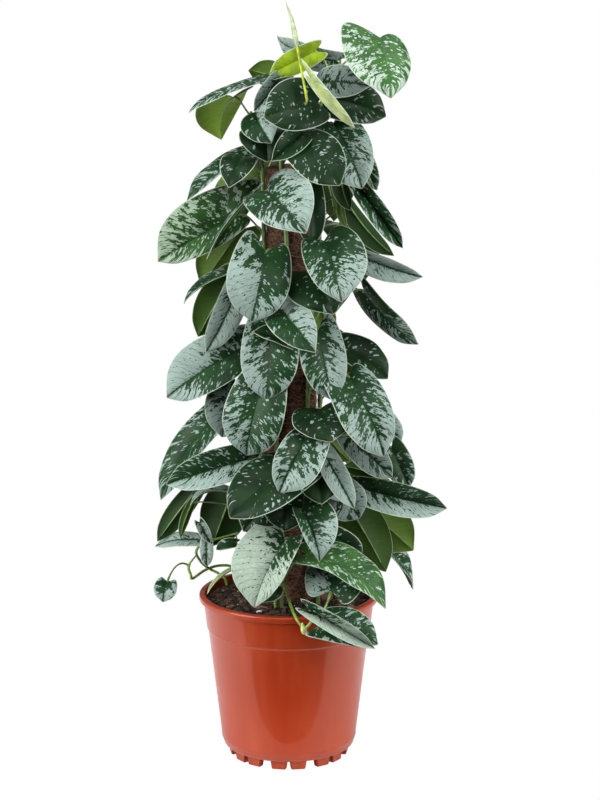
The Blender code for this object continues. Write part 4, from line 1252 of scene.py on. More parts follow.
def back_leaves():
    """Leaves on the far side, turned round the pole by the golden angle from low to high."""
    draw = random.Random(SEED)
    leaves = []
    for count in range(BACK_LEAVES):
        share = (count + 0.5) / BACK_LEAVES
        spread = BACK_SPREAD * (2 * (count * GOLDEN_TURN / (2 * math.pi) % 1) - 1)
        turn = math.pi + spread * (1 - 0.6 * share**2) + draw.uniform(-0.08, 0.08)
        out = Vector((math.sin(turn), -math.cos(turn), 0.0))
        aside = Vector((math.cos(turn), math.sin(turn), 0.0))
        height = BACK_LOW + (BACK_HIGH - BACK_LOW) * share + draw.uniform(-12, 12) * MM
        near = (56 + 22 * (1 - share) + draw.uniform(-6, 14)) * MM
        base = Vector((POLE_X, 0, height)) + out * near
        length = draw.uniform(64, 80) * MM
        dip = math.radians(draw.uniform(38, 68))
        stray = aside * draw.uniform(-18, 18) * MM
        tip = base + out * (length * math.cos(dip)) + stray - UP * (length * math.sin(dip))
        face = out * 0.75 + UP * 0.65 + aside * draw.uniform(-0.35, 0.35)
        width = draw.uniform(50, 66) * MM
        roll, fold = draw.uniform(-14, 14), draw.uniform(4, 20)
        arch = draw.uniform(6, 11) * MM
        oblique = BACK_OBLIQUE if count % 2 else -BACK_OBLIQUE
        leaves.append(Leaf(f"back_{count}", base, tip, width, roll, fold, arch, face, oblique))
    return leaves


def from_pole(leaf):
    middle = (leaf.base + leaf.tip) / 2
    return math.hypot(middle.x - POLE_X, middle.y)


def front_leaves():
    """The leaves that the front shows, the inner ones first."""
    leaves = []
    for name, base, tip, width, roll, fold, arch, _ in FRONT_LEAVES:
        seen = (sight(*base), sight(*tip), width * MM, roll, fold, arch * MM)
        leaves.append(Leaf(name, *seen, None, OBLIQUE.get(name, 0.0)))
    return sorted(leaves, key=from_pole)


LOOK_OF = {row[0]: row[-1] for row in FRONT_LEAVES}
LOOK_OF.update({f"back_{count}": BACK_LOOKS[count % len(BACK_LOOKS)] for count in range(BACK_LEAVES)})
print("leaves:", len(LOOK_OF))

# %% [markdown]
# ## Making room
#
# A leaf that cut through its neighbour would spoil the plant at once. Each leaf is tried where it was
# read; if it or its stalk would touch what is already there, it moves a little along the sight line and
# is tried again, with its stalk bowed to one side or the other. Inner leaves come first.

# %% Clearance
PUSH = 1.5 * MM
PUSHES = 25
OWN_PUSH = 30.0 * MM


def ribbon_tree(path, reach):
    """Two crossed strips along a path, to find what comes within reach of it."""
    verts, faces = [], []
    for lean in (0, 1):
        base = len(verts)
        for index, place in enumerate(path):
            ahead = heading(path, index)
            side = ahead.orthogonal().normalized()
            if lean:
                side = ahead.normalized().cross(side)
            verts += [place + side * reach, place - side * reach]
        for index in range(len(path) - 1):
            a = base + 2 * index
            faces += [(a, a + 1, a + 3), (a, a + 3, a + 2)]
    return BVHTree.FromPolygons(verts, faces)


def middle_and_reach(places):
    low = Vector([min(place[axis] for place in places) for axis in range(3)])
    high = Vector([max(place[axis] for place in places) for axis in range(3)])
    return (low + high) / 2, (high - low).length / 2


class Clearance:
    """Remembers what stands where, so that each new leaf can pass it by."""

    def __init__(self):
        self.items = []

    def add(self, owner, kind, tree, places):
        self.items.append((owner, kind, tree, *middle_and_reach(places)))

    def met(self, tree, places, skip=()):
        """Owners of the things that a shape would cross."""
        centre, reach = middle_and_reach(places)
        found = set()
        for owner, kind, other, middle, extent in self.items:
            if (owner, kind) in skip or (middle - centre).length > reach + extent:
                continue
            if tree.overlap(other):
                found.add(owner)
        return found


print("clearance ready")

# %% Where a stalk may start
Seat = namedtuple("Seat", "leaf owner start bulge outward")


def stalk_starts(owner, stems, leaf):
    """Places on a stem that the leaf's stalk can leave from, the likeliest first."""
    climber = stems[owner]
    if isinstance(climber, Climber):
        top = sight(*climber.top).z - STEM_RADIUS
        for drop in STALK_DROPS:
            height = max(SOIL_EDGE + 15 * MM, min(top, leaf.base.z - drop * MM))
            yield stem_place(climber, height)
    else:
        above = [place for path in climber for place in path[3:]]
        yield min(above, key=lambda place: (place - leaf.base).length)


def owners_by_distance(leaf, stems):
    """The stems that the leaf may belong to, the nearest first."""
    for shoot, names in SHOOT_LEAVES.items():
        if leaf.name in names:
            return [shoot]

    def distance(name):
        return (next(stalk_starts(name, stems, leaf)) - leaf.base).length

    climbers = [name for name, stem in stems.items() if isinstance(stem, Climber)]
    return sorted(climbers, key=distance)[:4]


print("stalks may start at", len(STALK_DROPS), "heights")

# %% Seating a leaf
def swung(leaf, push):
    """The leaf moved, its tip more than its base: along the sight line, or outward at the back."""
    middle = (leaf.base + leaf.tip) / 2
    if leaf.face is None:
        way = (EYE - middle).normalized()
    else:
        way = Vector((middle.x - POLE_X, middle.y, 0.0)).normalized()
    return leaf._replace(base=leaf.base + way * (0.5 * push), tip=leaf.tip + way * push)


def pushes(leaf):
    """Small moves first; a leaf at the back only moves outward."""
    yield 0.0
    for step in range(1, PUSHES):
        yield step * PUSH
        if leaf.face is None:
            yield -step * PUSH


def seat_leaf(leaf, stems, clearance):
    """Finds where the leaf and its stalk pass everything that is already there."""
    spare = None
    reach = STALK_RADIUS + 2 * GAP
    for push in pushes(leaf):
        moved = swung(leaf, push)
        axes = leaf_axes(moved)
        solid = plain_blade(moved, CLEAR)
        places = [vert.co.copy() for vert in solid.verts]
        tree = BVHTree.FromBMesh(solid)
        solid.free()
        crossed = clearance.met(tree, places)
        for owner in owners_by_distance(moved, stems):
            if crossed - {owner}:
                continue
            for start in stalk_starts(owner, stems, moved):
                outward = Vector((moved.base.x - POLE_X, moved.base.y, 0.0)).normalized()
                for bulge in STALK_BULGES:
                    path = stalk_path(start, moved, axes, bulge * MM, outward)
                    met = clearance.met(ribbon_tree(path, reach), path, {(owner, "stem")})
                    if met - {owner}:
                        continue
                    found = (Seat(moved, owner, start, bulge * MM, outward), path, tree, places)
                    if not met and not crossed:
                        return found
                    spare = spare or found
        if spare and abs(push) > OWN_PUSH:
            return spare
    return spare


print("a leaf may move", round(PUSH * (PUSHES - 1) / MM), "mm")

# %% Set out the whole plant
def make_stems(clearance):
    """Every climbing stem and hanging shoot: what it grows from, and its paths."""
    stems, tubes = {}, {}
    for climber in CLIMBERS:
        stems[climber.name] = climber
        tubes[climber.name] = [(climber_path(climber), STEM_RADIUS)]
    for name, runs in SHOOTS.items():
        paths = [shoot_path(run, 2) for run in runs]
        stems[name] = paths
        tubes[name] = [(path, SHOOT_RADIUS) for path in paths]
    for name, runs in tubes.items():
        for path, radius in runs:
            clearance.add(name, "stem", ribbon_tree(path, radius + GAP), path)
    return stems


def set_out_plant():
    """Seats every leaf and returns the seats of each stem."""
    clearance = Clearance()
    for name in ("pot", "soil", "pole_coir"):
        mesh = frame["nodes"][name].data
        places = [vert.co - AXIS for vert in mesh.vertices]
        faces = [tuple(face.vertices) for face in mesh.polygons]
        clearance.add(name, "solid", BVHTree.FromPolygons(places, faces), places)
    stems = make_stems(clearance)
    seats = {name: [] for name in stems}
    for leaf in [*front_leaves(), *back_leaves()]:
        seat, path, tree, places = seat_leaf(leaf, stems, clearance)
        clearance.add(seat.owner, "blade", tree, places)
        clearance.add(seat.owner, "stalk", ribbon_tree(path, STALK_RADIUS), path)
        seats[seat.owner].append(seat)
    return seats


seats = set_out_plant()
print("leaves on each stem:", {name: len(found) for name, found in seats.items()})

# %% [markdown]
# ## Silver markings
#
# The silver of a satin scindapsus is a layer of air under the leaf's skin. It lies in splashes between the
# side veins, longer along the veins than across them, thickest toward the margin and the tip, and cut by
# thin green lines where the veins run. Small oval flecks fill the green between. Noise in ordinary
# coordinates would run across the veins, so the pattern is worked out in a leaf's own coordinates: how
# far up the rib a vein starts, and how far out along it a place is. Each half of a leaf has its own seed.

# %% Steps of the silver pattern
def parts_of(group, vector):
    """The three parts of a vector."""
    made = group.nodes.new("ShaderNodeSeparateXYZ")
    feed(group, made.inputs[0], vector)
    return made.outputs


def cells_at(group, place):
    """How far a place is from the middle of its cell, and two draws that the cell makes."""
    cells = group.nodes.new("ShaderNodeTexVoronoi")
    feed(group, cells.inputs["Scale"], 1.0)
    feed(group, cells.inputs["Vector"], place)
    draws = group.nodes.new("ShaderNodeSeparateColor")
    feed(group, draws.inputs[0], cells.outputs["Color"])
    return cells.outputs["Distance"], draws.outputs[0], draws.outputs[1]


def ovals(group, size, distance):
    """Mask of the places that lie nearer than a size to the middle of their cell."""
    return ramp(group, maths(group, "SUBTRACT", size, distance), -0.015, 0.03)


print("steps of the silver ready")

# %% Silver group
def make_silver_group():
    """Masks of a leaf's upper face, from its vein coordinates and its own shares of silver."""
    group, given, wanted = new_group(
        "silver_markings",
        {"Vein": ("vector", None), "Spot": ("vector", None), "Marks": ("vector", None)},
        {"Silver": "value", "Veins": "value", "Rim": "value", "Rib": "value", "Tip": "value"},
    )
    start, along, seed = parts_of(group, given["Vein"])
    side, rib, edge = parts_of(group, given["Spot"])
    share, flecks, tipward = parts_of(group, given["Marks"])

    # lanes between the veins sway a little
    drift = grain(group, combined(group, start, along, seed), 1.6, 1.0)
    lane = scaled(group, maths(group, "SUBTRACT", drift, 0.5), 0.45, start)

    def stretched(across, out, layer):
        return combined(group, times(group, lane, across), times(group, along, out), layer)

    # every edge of the silver is ragged
    ragged = maths(group, "SUBTRACT", grain(group, stretched(9.0, 4.0, seed), 1.0, 2.0, 0.6), 0.5)

    # splashes, thicker toward the margin and the tip
    level = scaled(group, ragged, 0.42, grain(group, stretched(2.5, 0.85, seed), 1.0, 2.0, 0.45))
    level = scaled(group, side, 0.16, level)
    level = maths(group, "ADD", level, times(group, maths(group, "SUBTRACT", rib, 0.45), tipward))
    level = scaled(group, share, 0.62, level)
    splashes = times(group, ramp(group, level, 0.915, 0.950), 0.88)

    # small oval flecks in the green
    distance, drawn, size = cells_at(group, stretched(3.6, 2.1, times(group, seed, 3.1)))
    size = scaled(group, maths(group, "POWER", size, 2.0), 0.40, 0.13)
    dots = ovals(group, size, scaled(group, ragged, 0.75, distance))
    dots = times(group, dots, maths(group, "LESS_THAN", drawn, flecks))
    silver = maths(group, "MAXIMUM", splashes, dots)

    # green holes in the silver, fewer toward the margin
    distance, drawn, _ = cells_at(group, stretched(5.4, 2.4, maths(group, "ADD", seed, 31.7)))
    size = scaled(group, share, -0.22, 0.44)
    holes = ovals(group, size, scaled(group, ragged, 0.6, distance))
    holes = times(group, holes, maths(group, "LESS_THAN", drawn, scaled(group, side, -0.50, 0.80)))
    silver = times(group, silver, maths(group, "SUBTRACT", 1.0, holes))

    # thin lines along the veins, fainter in places
    comb = maths(group, "PINGPONG", lane, 0.30)
    fading = ramp(group, drift, 0.30, 0.60, 0.15, 1.0)
    veins = times(group, ramp(group, comb, 0.010, 0.065, 1.0, 0.0), fading)
    cut = times(group, scaled(group, share, -0.40, 0.78), veins)
    cut = scaled(group, ragged, -0.7, maths(group, "ADD", cut, 0.05))

    # green beside the rib, except on a leaf that is nearly all silver
    clear = ramp(group, scaled(group, ragged, 0.55, along), 0.06, 0.20)
    clear = maths(group, "MAXIMUM", clear, ramp(group, share, 0.85, 1.0))
    silver = times(group, silver, clear)

    feed(group, wanted["Silver"], times(group, silver, maths(group, "SUBTRACT", 1.0, cut)))
    feed(group, wanted["Veins"], veins)
    feed(group, wanted["Rim"], ramp(group, scaled(group, ragged, 0.4, edge), 0.35, 0.85, 1.0, 0.0))
    feed(group, wanted["Rib"], ramp(group, along, 0.03, 0.075, 1.0, 0.0))
    feed(group, wanted["Tip"], ramp(group, scaled(group, ragged, 0.03, rib), 0.978, 0.994))
    return group


SILVER = make_silver_group()
print("silver group nodes:", len(SILVER.nodes))

# %% [markdown]
# ## Leaf, underside and stalk materials
#
# The green below the silver changes slowly over a blade and darkens along the veins. Silver is paler and
# less shiny than the green, because its air layer scatters light. The underside is a plain olive green
# with the veins showing as lighter lines, and the stalks are a fresher green. Greens, silver and olive come
# from each leaf's look, which darkens them as painted shade on leaves in shadow and brightens the
# underside as painted light on a leaf lit from behind.

# %% Leaf materials
def leaf_masks(tree):
    """The silver group, fed with what each blade carries."""
    carried = {title: attribute(tree, title.lower()) for title in ("Vein", "Spot", "Marks")}
    return place_group(tree, SILVER, **carried)


def make_leaf_upper():
    made, tree, shader = new_material("leaf_upper", (0.035, 0.10, 0.045), 0.42, Specular_IOR_Level=0.12)
    masks = leaf_masks(tree)
    cloudy = place_group(tree, GRAIN, Vector=object_place(tree), Broad_Scale=55.0, Fine_Scale=1500.0)
    tone = attribute(tree, "tone")
    shade, light = tinted(tree, tone, 0.70, 0.70, 0.72), tinted(tree, tone, 1.4, 1.35, 1.2)
    green = mixed(tree, ramp(tree, cloudy["Broad"], 0.3, 0.7), shade, light)
    green = mixed(tree, times(tree, masks["Veins"], 0.35), green, (0.007, 0.021, 0.008, 1))
    green = mixed(tree, times(tree, masks["Rib"], 0.30), green, tinted(tree, tone, 1.9, 1.7, 1.3))
    sheen = attribute(tree, "silver")
    shade, light = tinted(tree, sheen, 0.70, 0.73, 0.71), tinted(tree, sheen, 1.16, 1.14, 1.16)
    pale = mixed(tree, cloudy["Broad"], shade, light)
    silver = times(tree, masks["Silver"], 0.93)
    colour = mixed(tree, silver, green, pale)
    colour = mixed(tree, times(tree, masks["Rim"], 0.8), colour, (0.40, 0.48, 0.37, 1))
    colour = mixed(tree, times(tree, masks["Tip"], 0.8), colour, (0.30, 0.17, 0.10, 1))
    feed(tree, shader.inputs["Base Color"], colour)
    feed(tree, shader.inputs["Roughness"], ramp(tree, silver, 0.0, 1.0, 0.38, 0.55))
    relief = scaled(tree, masks["Veins"], -0.6, times(tree, masks["Silver"], 0.35))
    relief = scaled(tree, cloudy["Fine"], 0.35, relief)
    add_bump(tree, shader, relief, 0.35, 0.25 * MM)
    return made


def make_leaf_under():
    made, tree, shader = new_material("leaf_under", (0.16, 0.26, 0.07), 0.5, Specular_IOR_Level=0.12)
    masks = leaf_masks(tree)
    cloudy = place_group(tree, GRAIN, Vector=object_place(tree), Broad_Scale=45.0, Fine_Scale=1500.0)
    tone = attribute(tree, "tone")
    shade, light = tinted(tree, tone, 0.75, 0.78, 0.8), tinted(tree, tone, 1.25, 1.2, 1.1)
    green = mixed(tree, cloudy["Broad"], shade, light)
    green = mixed(tree, times(tree, masks["Veins"], 0.30), green, tinted(tree, tone, 1.8, 1.6, 1.5))
    green = mixed(tree, times(tree, masks["Rim"], 0.5), green, (0.34, 0.44, 0.24, 1))
    feed(tree, shader.inputs["Base Color"], green)
    add_bump(tree, shader, scaled(tree, cloudy["Fine"], 0.5, masks["Veins"]), 0.4, 0.25 * MM)
    return made


def make_stalk_material():
    made, tree, shader = new_material("green_stalk", (0.10, 0.20, 0.05), 0.42)
    marks = place_group(tree, GRAIN, Vector=object_place(tree), Broad_Scale=120.0, Fine_Scale=1400.0)
    tone = attribute(tree, "tone")
    shade, light = tinted(tree, tone, 0.72, 0.72, 0.75), tinted(tree, tone, 1.3, 1.2, 1.1)
    colour = mixed(tree, ramp(tree, marks["Broad"], 0.35, 0.68), shade, light)
    feed(tree, shader.inputs["Base Color"], colour)
    add_bump(tree, shader, marks["Fine"], 0.3, 0.2 * MM)
    return made


PLANT_MATERIALS = [make_leaf_upper(), make_leaf_under(), make_stalk_material()]
UPPER, UNDER, STALK = range(3)
print("plant materials:", [item.name for item in PLANT_MATERIALS])

# %% [markdown]
# ## Looks of the leaves
#
# No two leaves of a satin scindapsus are marked alike, yet they fall into kinds: nearly all silver, silver
# on one half or toward the tip, or dark with a few flecks. A look says how much silver lies on the plus
# and on the minus side of the rib, how many flecks, how far the silver keeps to the tip, and the colours
# of the green, the silver and the underside. Some looks also paint light and shade into these colours:
# leaves in shadow get darker greens, silver and undersides as painted shade, and a leaf lit from behind
# gets a bright underside as painted light.

# %% Looks of the leaves
# DEEP is the own green of dark leaves, and also painted shade on leaves in shadow inside the plant
DEEP = (0.006, 0.021, 0.007)
MID = (0.010, 0.036, 0.012)
FRESH = (0.016, 0.053, 0.013)
BRIGHT = (0.030, 0.092, 0.024)
OLIVE = (0.072, 0.130, 0.022)
SHADED_OLIVE = (0.026, 0.060, 0.009)
# painted light: the olive of an underside lit from behind, painted bright as if light shone through it
PAINTED_BACKLIGHT_OLIVE = (0.200, 0.330, 0.045)
# painted shade: a near-black olive for undersides that lie in deep shadow
DEEP_SHADE_OLIVE = (0.012, 0.034, 0.008)
LIME = (0.185, 0.280, 0.012)
SILVERY = (0.290, 0.375, 0.340)
WHITISH = (0.430, 0.520, 0.445)
FRESH_SILVER = (0.330, 0.430, 0.320)
PALE_SILVER = (0.360, 0.440, 0.365)
# painted shade: the silver of leaves in shadow, painted darker and bluer
SHADOWED_SILVER = (0.195, 0.255, 0.230)
PALE = (0.230, 0.285, 0.125)
YOUNG = (0.330, 0.420, 0.240)

Look = namedtuple(
    "Look", "plus minus flecks tipward tone silver under", defaults=(MID, SILVERY, SHADED_OLIVE)
)

LOOKS = {
    "fleck": Look(0.36, 0.36, 0.80, 0.15),
    "fresh": Look(0.48, 0.40, 0.85, 0.25, FRESH, FRESH_SILVER),
    "bright_fleck": Look(0.30, 0.30, 0.70, 0.10, BRIGHT, WHITISH),
    "bright_tipped": Look(0.46, 0.36, 0.90, 0.28, BRIGHT, WHITISH),
    "speckled": Look(0.50, 0.36, 0.95, 0.35),
    "mixed_half": Look(0.58, 0.30, 0.90, 0.35),
    "streaked": Look(0.46, 0.56, 0.90, 0.45),
    "mottled": Look(0.36, 0.66, 0.80, 0.35),
    "tipped": Look(0.34, 0.44, 0.70, 0.75),
    "silver": Look(0.80, 0.80, 0.70, 0.20),
    "half": Look(0.74, 0.24, 0.65, 0.15),
    "other_half": Look(0.24, 0.74, 0.65, 0.15),
    "half_tipped": Look(0.84, 0.34, 0.65, 0.70),
    "sparse": Look(0.14, 0.14, 0.50, 0.10, DEEP),
    "shaded_fleck": Look(0.30, 0.14, 0.60, 0.10, DEEP, SHADOWED_SILVER),
    # leaves deep inside the plant: their dark green, with the shadow they lie in painted on as a near-black
    # tone and hardly any silver
    "dark": Look(0.00, 0.00, 0.25, 0.00, DEEP),
    "white": Look(1.02, 0.62, 0.95, 0.80, MID, PALE_SILVER),
    # painted shade: silver leaves in shadow, with a darkened green and the shadowed silver
    "grey": Look(0.66, 0.66, 0.60, 0.10, DEEP, SHADOWED_SILVER),
    "pale": Look(0.30, 0.30, 0.40, 0.00, PALE, WHITISH, PALE),
    "lime": Look(0.00, 0.00, 0.00, 0.00, LIME, LIME, LIME),
    "plain": Look(0.00, 0.00, 0.20, 0.00, MID, SILVERY, OLIVE),
    # painted light: the underside is painted bright, as if lit from behind
    "painted_backlight": Look(0.00, 0.00, 0.20, 0.00, BRIGHT, SILVERY, PAINTED_BACKLIGHT_OLIVE),
    "shaded": Look(0.00, 0.00, 0.20, 0.00, DEEP),
    # painted shade: undersides in deep shadow, with a darkened green and a darkened silver on the upper face
    "deep_shade_under": Look(0.30, 0.30, 0.80, 0.20, DEEP, SHADOWED_SILVER, DEEP_SHADE_OLIVE),
    "young": Look(0.00, 0.00, 0.00, 0.00, YOUNG, YOUNG, YOUNG),
}
print("looks:", len(LOOKS))

# %% [markdown]
# ## Fine blades
#
# The fine blade follows the plain one and adds what a plain one can't hold: a rib that is pressed in,
# halves that swell between the veins, a margin that waves a little, and a thin edge. Each leaf draws its
# own waves from a seed, so no two are the same.

# %% Swell, waves and groove
VEIN_SWEEP = 0.24
VEIN_SPACING = 6.0 * MM
QUILT_RISE = 0.10 * MM
GROOVE_DEPTH = 0.30 * MM
GROOVE_WIDTH = 1.6 * MM


def lift_over_plain(leaf, draw):
    """A function of turn and side that gives how far the fine blade stands over the plain one."""
    size = leaf.width / (60 * MM)
    swell = draw.uniform(1.8, 3.2) * MM * size
    droop = draw.uniform(-0.4, 1.6) * MM * size
    wave = draw.uniform(0.5, 1.4) * MM * size
    phases = (draw.uniform(0, 6.28), draw.uniform(0, 6.28))
    beats = (draw.uniform(1.2, 2.2), draw.uniform(1.2, 2.2))
    hook = draw.uniform(-1.5, 4.0) * MM * size
    length = (leaf.tip - leaf.base).length

    def lift(turn, side):
        rib = math.sin(turn / 2) ** 2
        out = abs(side)
        half = 0 if side < 0 else 1
        bowl = 4 * out * (1 - out) * math.sin(turn)
        beat = math.sin(2 * math.pi * beats[half] * rib + phases[half])
        ripple = out**2.5 * math.sin(turn) * beat
        near_rib = math.exp(-((out * half_width(leaf, turn) / GROOVE_WIDTH) ** 2))
        groove = -GROOVE_DEPTH * near_rib * math.sin(turn) ** 0.5
        start = (rib - VEIN_SWEEP * out) * length
        puff = math.cos(2 * math.pi * start / VEIN_SPACING)
        quilt = QUILT_RISE * puff * math.sin(math.pi * min(1.0, out))
        tip = max(0.0, (rib - 0.8) / 0.2) ** 2
        return swell * bowl + wave * ripple + groove + quilt - hook * tip - droop * side**4 * math.sin(turn)

    return lift


print("veins", round(VEIN_SPACING / MM), "mm apart")

# %% Grid of a fine blade
BLADE = 0.6 * MM
BLADE_ROWS = 34
BLADE_COLUMNS = 9
ACROSS = 2 * BLADE_COLUMNS + 1
SIDES = [step / BLADE_COLUMNS for step in range(-BLADE_COLUMNS, BLADE_COLUMNS + 1)]
TURNS = [math.pi * (row + 1) / (BLADE_ROWS + 1) for row in range(BLADE_ROWS)]
LAST = BLADE_ROWS * ACROSS + 1


def blade_grid():
    """Faces of the grid from notch to tip, and which half of the leaf each is on."""
    faces, halves = [], []
    for step in range(ACROSS - 1):
        strip = [(0, 2 + step, 1 + step)]
        for row in range(BLADE_ROWS - 1):
            a = 1 + row * ACROSS + step
            strip.append((a, a + 1, a + 1 + ACROSS, a + ACROSS))
        a = 1 + (BLADE_ROWS - 1) * ACROSS + step
        strip.append((a, a + 1, LAST))
        faces += strip
        halves += [-1 if step < BLADE_COLUMNS else 1] * len(strip)
    return faces, halves


def blade_edges():
    """Faces of the thin edge, up the right margin and down the left, and the half of each."""
    left = [1 + row * ACROSS for row in range(BLADE_ROWS)]
    right = [corner + ACROSS - 1 for corner in left]
    rim = [0, *right, LAST, *reversed(left)]
    below = LAST + 1
    edges = [(a, a + below, b + below, b) for a, b in zip(rim, [*rim[1:], 0])]
    return edges, [1] * (BLADE_ROWS + 1) + [-1] * (BLADE_ROWS + 1)


GRID, GRID_HALVES = blade_grid()
UNDERSIDE = [tuple(index + LAST + 1 for index in reversed(face)) for face in GRID]
EDGES, EDGE_HALVES = blade_edges()
print("faces in a blade:", 2 * len(GRID) + len(EDGES))

# %% Fine blade
CM = 10 * MM
NUMBER_OF = {name: number for number, name in enumerate(LOOK_OF)}


def add_blade(bunch, leaf, look):
    """Gathers the fine blade of a leaf: both faces, its thin edge and its markings."""
    number = NUMBER_OF[leaf.name]
    axes = leaf_axes(leaf)
    lift = lift_over_plain(leaf, random.Random(1000 + number))
    length = (leaf.tip - leaf.base).length
    places, inked = [], []

    def put(place, turn, side):
        rib = math.sin(turn / 2) ** 2
        half = half_width(leaf, turn) * (1 + leaf.oblique * side) if 0 < turn < math.pi else 0.0
        start = (rib - VEIN_SWEEP * abs(side)) * length / CM
        places.append(place)
        inked.append((start, abs(side) * half / CM, abs(side), rib, (1 - abs(side)) * half * 0.85 / MM))

    put(leaf.base, 0.0, 0.0)
    for turn in TURNS:
        for side in SIDES:
            put(blade_place(leaf, axes, turn, side) + axes[2] * lift(turn, side), turn, side)
    put(leaf.tip + axes[2] * lift(math.pi, 0.0), math.pi, 0.0)

    normals = corner_normals(places, GRID)
    verts = []
    for sign in (1, -1):
        for place, normal, ink in zip(places, normals, inked):
            thick = BLADE / 2 * (1 - 0.6 * ink[2] ** 4)
            verts.append(place + normal * (sign * thick))

    def inks(faces, halves):
        vein, spot, marks = [], [], []
        for face, half in zip(faces, halves):
            for index in face:
                start, out, side, rib, edge = inked[index % len(places)]
                vein.append((start, out, number * 2.7 + (half + 1) * 0.9))
                spot.append((side, rib, edge))
                marks.append((look.plus if half > 0 else look.minus, look.flecks, look.tipward))
        return {"vein": vein, "spot": spot, "marks": marks}

    bunch.add(verts, [], UPPER)
    base = -len(verts)
    sheets = (
        (GRID, GRID_HALVES, UPPER, look.tone),
        (UNDERSIDE, GRID_HALVES, UNDER, look.under),
        (EDGES, EDGE_HALVES, UPPER, look.tone),
    )
    for faces, halves, slot, tone in sheets:
        shifted = [tuple(index + base for index in face) for face in faces]
        bunch.add([], shifted, slot, tone=tone, silver=look.silver, **inks(faces, halves))


print("leaves numbered:", len(NUMBER_OF))

# %% [markdown]
# ## Stems, stalks and roots
#
# A stem swells where a leaf stalk leaves it. The stalk thickens toward its blade and runs on beneath it as
# the raised rib, and short brown roots grip the coir. All of them are tubes along a path with a radius for
# each place on it, which is less work than curve objects and keeps them in the stem's one mesh.

# %% Stems, stalks, joints and clinging roots
STEM_GREEN = (0.085, 0.150, 0.035)
STALK_GREEN = (0.130, 0.230, 0.060)
FRESH_STALK = (0.330, 0.430, 0.060)
SHOOT_GREEN = (0.150, 0.260, 0.040)
BULB_GREEN = (0.380, 0.460, 0.160)
ROOT_BROWN = (0.170, 0.110, 0.055)


def add_stem(bunch, path, radius, joints, tone):
    """A stem that swells at each joint and slims toward its tip."""
    last = len(path) - 1
    radii = []
    for index, place in enumerate(path):
        slim = min(1.0, 0.5 + 2.6 * (last - index) / last)
        swell = sum(math.exp(-(((place - joint).length / (2.4 * MM)) ** 2)) for joint in joints)
        radii.append(radius * slim * (1 + 0.32 * min(1.2, swell)))
    bunch.add(*tube(path, radii, 12), STALK, tone=tone)


def add_stalk(bunch, seat, axes, tone):
    """A leaf stalk with its swollen joint under the blade, running on as the raised rib beneath."""
    leaf = seat.leaf
    path = stalk_path(seat.start, leaf, axes, seat.bulge, seat.outward, 14)[:-1]
    slim = min(1.0, 0.6 + leaf.width / (80 * MM))
    count = len(path)
    radii = []
    for index in range(count):
        share = index / (count - 1)
        radii.append(STALK_RADIUS * slim * (1.25 - 0.45 * math.sin(math.pi * min(1.0, share * 1.15)) ** 0.7))
    for turn in range(24, 148, 12):
        angle = math.radians(turn)
        thick = STALK_RADIUS * slim * (1.0 - 0.86 * math.sin(angle / 2) ** 2)
        path.append(blade_place(leaf, axes, angle, 0.0) - axes[2] * (0.75 * thick + 0.45 * MM))
        radii.append(thick)
    bunch.add(*tube(path, radii, 8), STALK, tone=tone)


def add_bulb(bunch, place, radius=3.4 * MM):
    """The pale swollen end of a shoot, longer than it is wide."""
    leaning = Vector((-0.25, 0.0, 1.0))
    path = [place + leaning * (radius * reach) for reach in (-1.5, -1.3, -0.9, -0.3, 0.5, 1.3, 2.2)]
    radii = [radius * size for size in (0.12, 0.55, 0.85, 1.0, 0.86, 0.60, 0.30)]
    bunch.add(*tube(path, radii, 14), STALK, tone=BULB_GREEN)


def add_clinging_roots(bunch, climber, draw):
    """Short brown roots that grip the coir at intervals up the stem."""
    height = SOIL_EDGE + 30 * MM
    while height < POLE_TOP - 15 * MM:
        start = stem_place(climber, height)
        turn = math.atan2(start.x - POLE_X, -start.y)
        way = draw.choice((-1, 1))
        length = draw.uniform(7, 15) * MM
        fall = draw.uniform(-0.6, 0.3)
        path = [start]
        for step in range(1, 7):
            share = step / 6
            angle = turn + way * share * length / COIR_RADIUS
            radius = COIR_RADIUS + 2.2 * MM * (1 - share) ** 2 + 0.2 * MM
            high = height + fall * share * length
            path.append(round_pole(radius, angle, high))
        radii = [0.65 * MM * (1 - 0.6 * step / 6) for step in range(7)]
        bunch.add(*tube(path, radii, 6), STALK, tone=ROOT_BROWN)
        height += draw.uniform(14, 34) * MM


print("stem parts ready")

# %% [markdown]
# ## Growing each stem
#
# The youngest leaf is still rolled up, so it is a slim wrapped cone and not a blade. Each stem gathers its
# tubes, stalks and blades in one mesh, which takes the place of the plain stem of the same name.

# %% A young leaf, still rolled up
SPIRE_STALK = 0.52
YOUNG_STALK = (0.290, 0.370, 0.012)


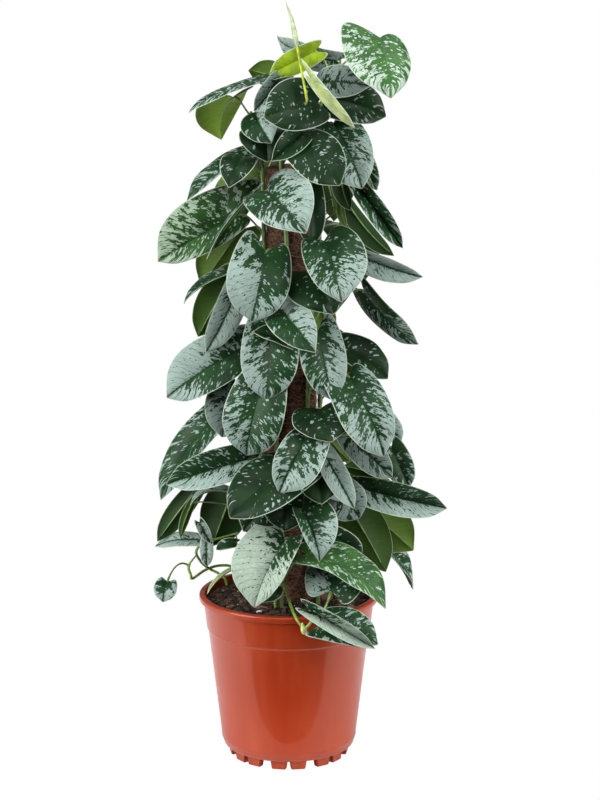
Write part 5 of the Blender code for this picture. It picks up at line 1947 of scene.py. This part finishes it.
def rolled_leaf(bunch, leaf, tone):
    """A young leaf that is still rolled up: a slim cone with an overlapping edge and a hooked tip."""
    axes = leaf_axes(leaf)
    rings, sides = 26, 20
    path = []
    for step in range(rings):
        share = step / (rings - 1)
        hook = axes[0] * (-3.0 * MM * max(0.0, share - 0.8) / 0.2)
        path.append(leaf.base.lerp(leaf.tip, share) + axes[2] * leaf.arch * 4 * share * (1 - share) + hook)
    verts = []
    for step, place in enumerate(path):
        share = step / (rings - 1)
        blade = max(0.0, (share - SPIRE_STALK) / (1 - SPIRE_STALK))
        radius = 1.15 * MM
        if blade > 0:
            radius = (1.2 + 1.6 * math.sin(math.pi * blade**0.6)) * MM * (1.02 - blade) ** 0.5
        ahead = heading(path, step).normalized()
        side = (axes[0] - ahead * axes[0].dot(ahead)).normalized()
        other = ahead.cross(side)
        for spoke in range(sides):
            angle = 2 * math.pi * spoke / sides
            wrap = radius * (1 + 0.22 * spoke / sides)
            twist = angle + 1.2 * share
            verts.append(place + (side * math.cos(twist) + other * math.sin(twist)) * wrap)
    faces = ring_faces(sides, rings)
    tones = []
    for face in faces:
        ring = min(index // sides for index in face)
        tones += [YOUNG_STALK if ring / (rings - 1) < SPIRE_STALK else tone] * len(face)
    bunch.add(verts, faces, STALK, tone=tones)


print("rolled leaf ready")

# %% Grow each stem
def grow(name):
    """One leafy stem as a fine mesh in the place of the plain node of that name."""
    bunch = Bunch("vein", "spot", "marks", "tone", "silver")
    draw = random.Random(name)
    climber = next((item for item in CLIMBERS if item.name == name), None)
    joints = [seat.start for seat in seats[name]]
    if climber:
        add_stem(bunch, climber_path(climber, (6, 16, 150, 24)), STEM_RADIUS, joints, STEM_GREEN)
        add_clinging_roots(bunch, climber, draw)
    else:
        for run in SHOOTS[name]:
            add_stem(bunch, shoot_path(run, 8), SHOOT_RADIUS, joints, SHOOT_GREEN)
        if name == "shoot_front":
            add_bulb(bunch, sight(*BULB_AT))
    for seat in seats[name]:
        word = LOOK_OF[seat.leaf.name]
        tone = FRESH_STALK if word in ("lime", "pale", "young") else STALK_GREEN
        shade = draw.uniform(0.75, 1.25)
        add_stalk(bunch, seat, leaf_axes(seat.leaf), tuple(part * shade for part in tone))
        if word == "young":
            rolled_leaf(bunch, seat.leaf, YOUNG)
        else:
            add_blade(bunch, seat.leaf, LOOKS[word])
    add_piece("leafy_" + name, bunch.mesh(name), PLANT_MATERIALS, [name], 50.0)


for stem_name in seats:
    grow(stem_name)
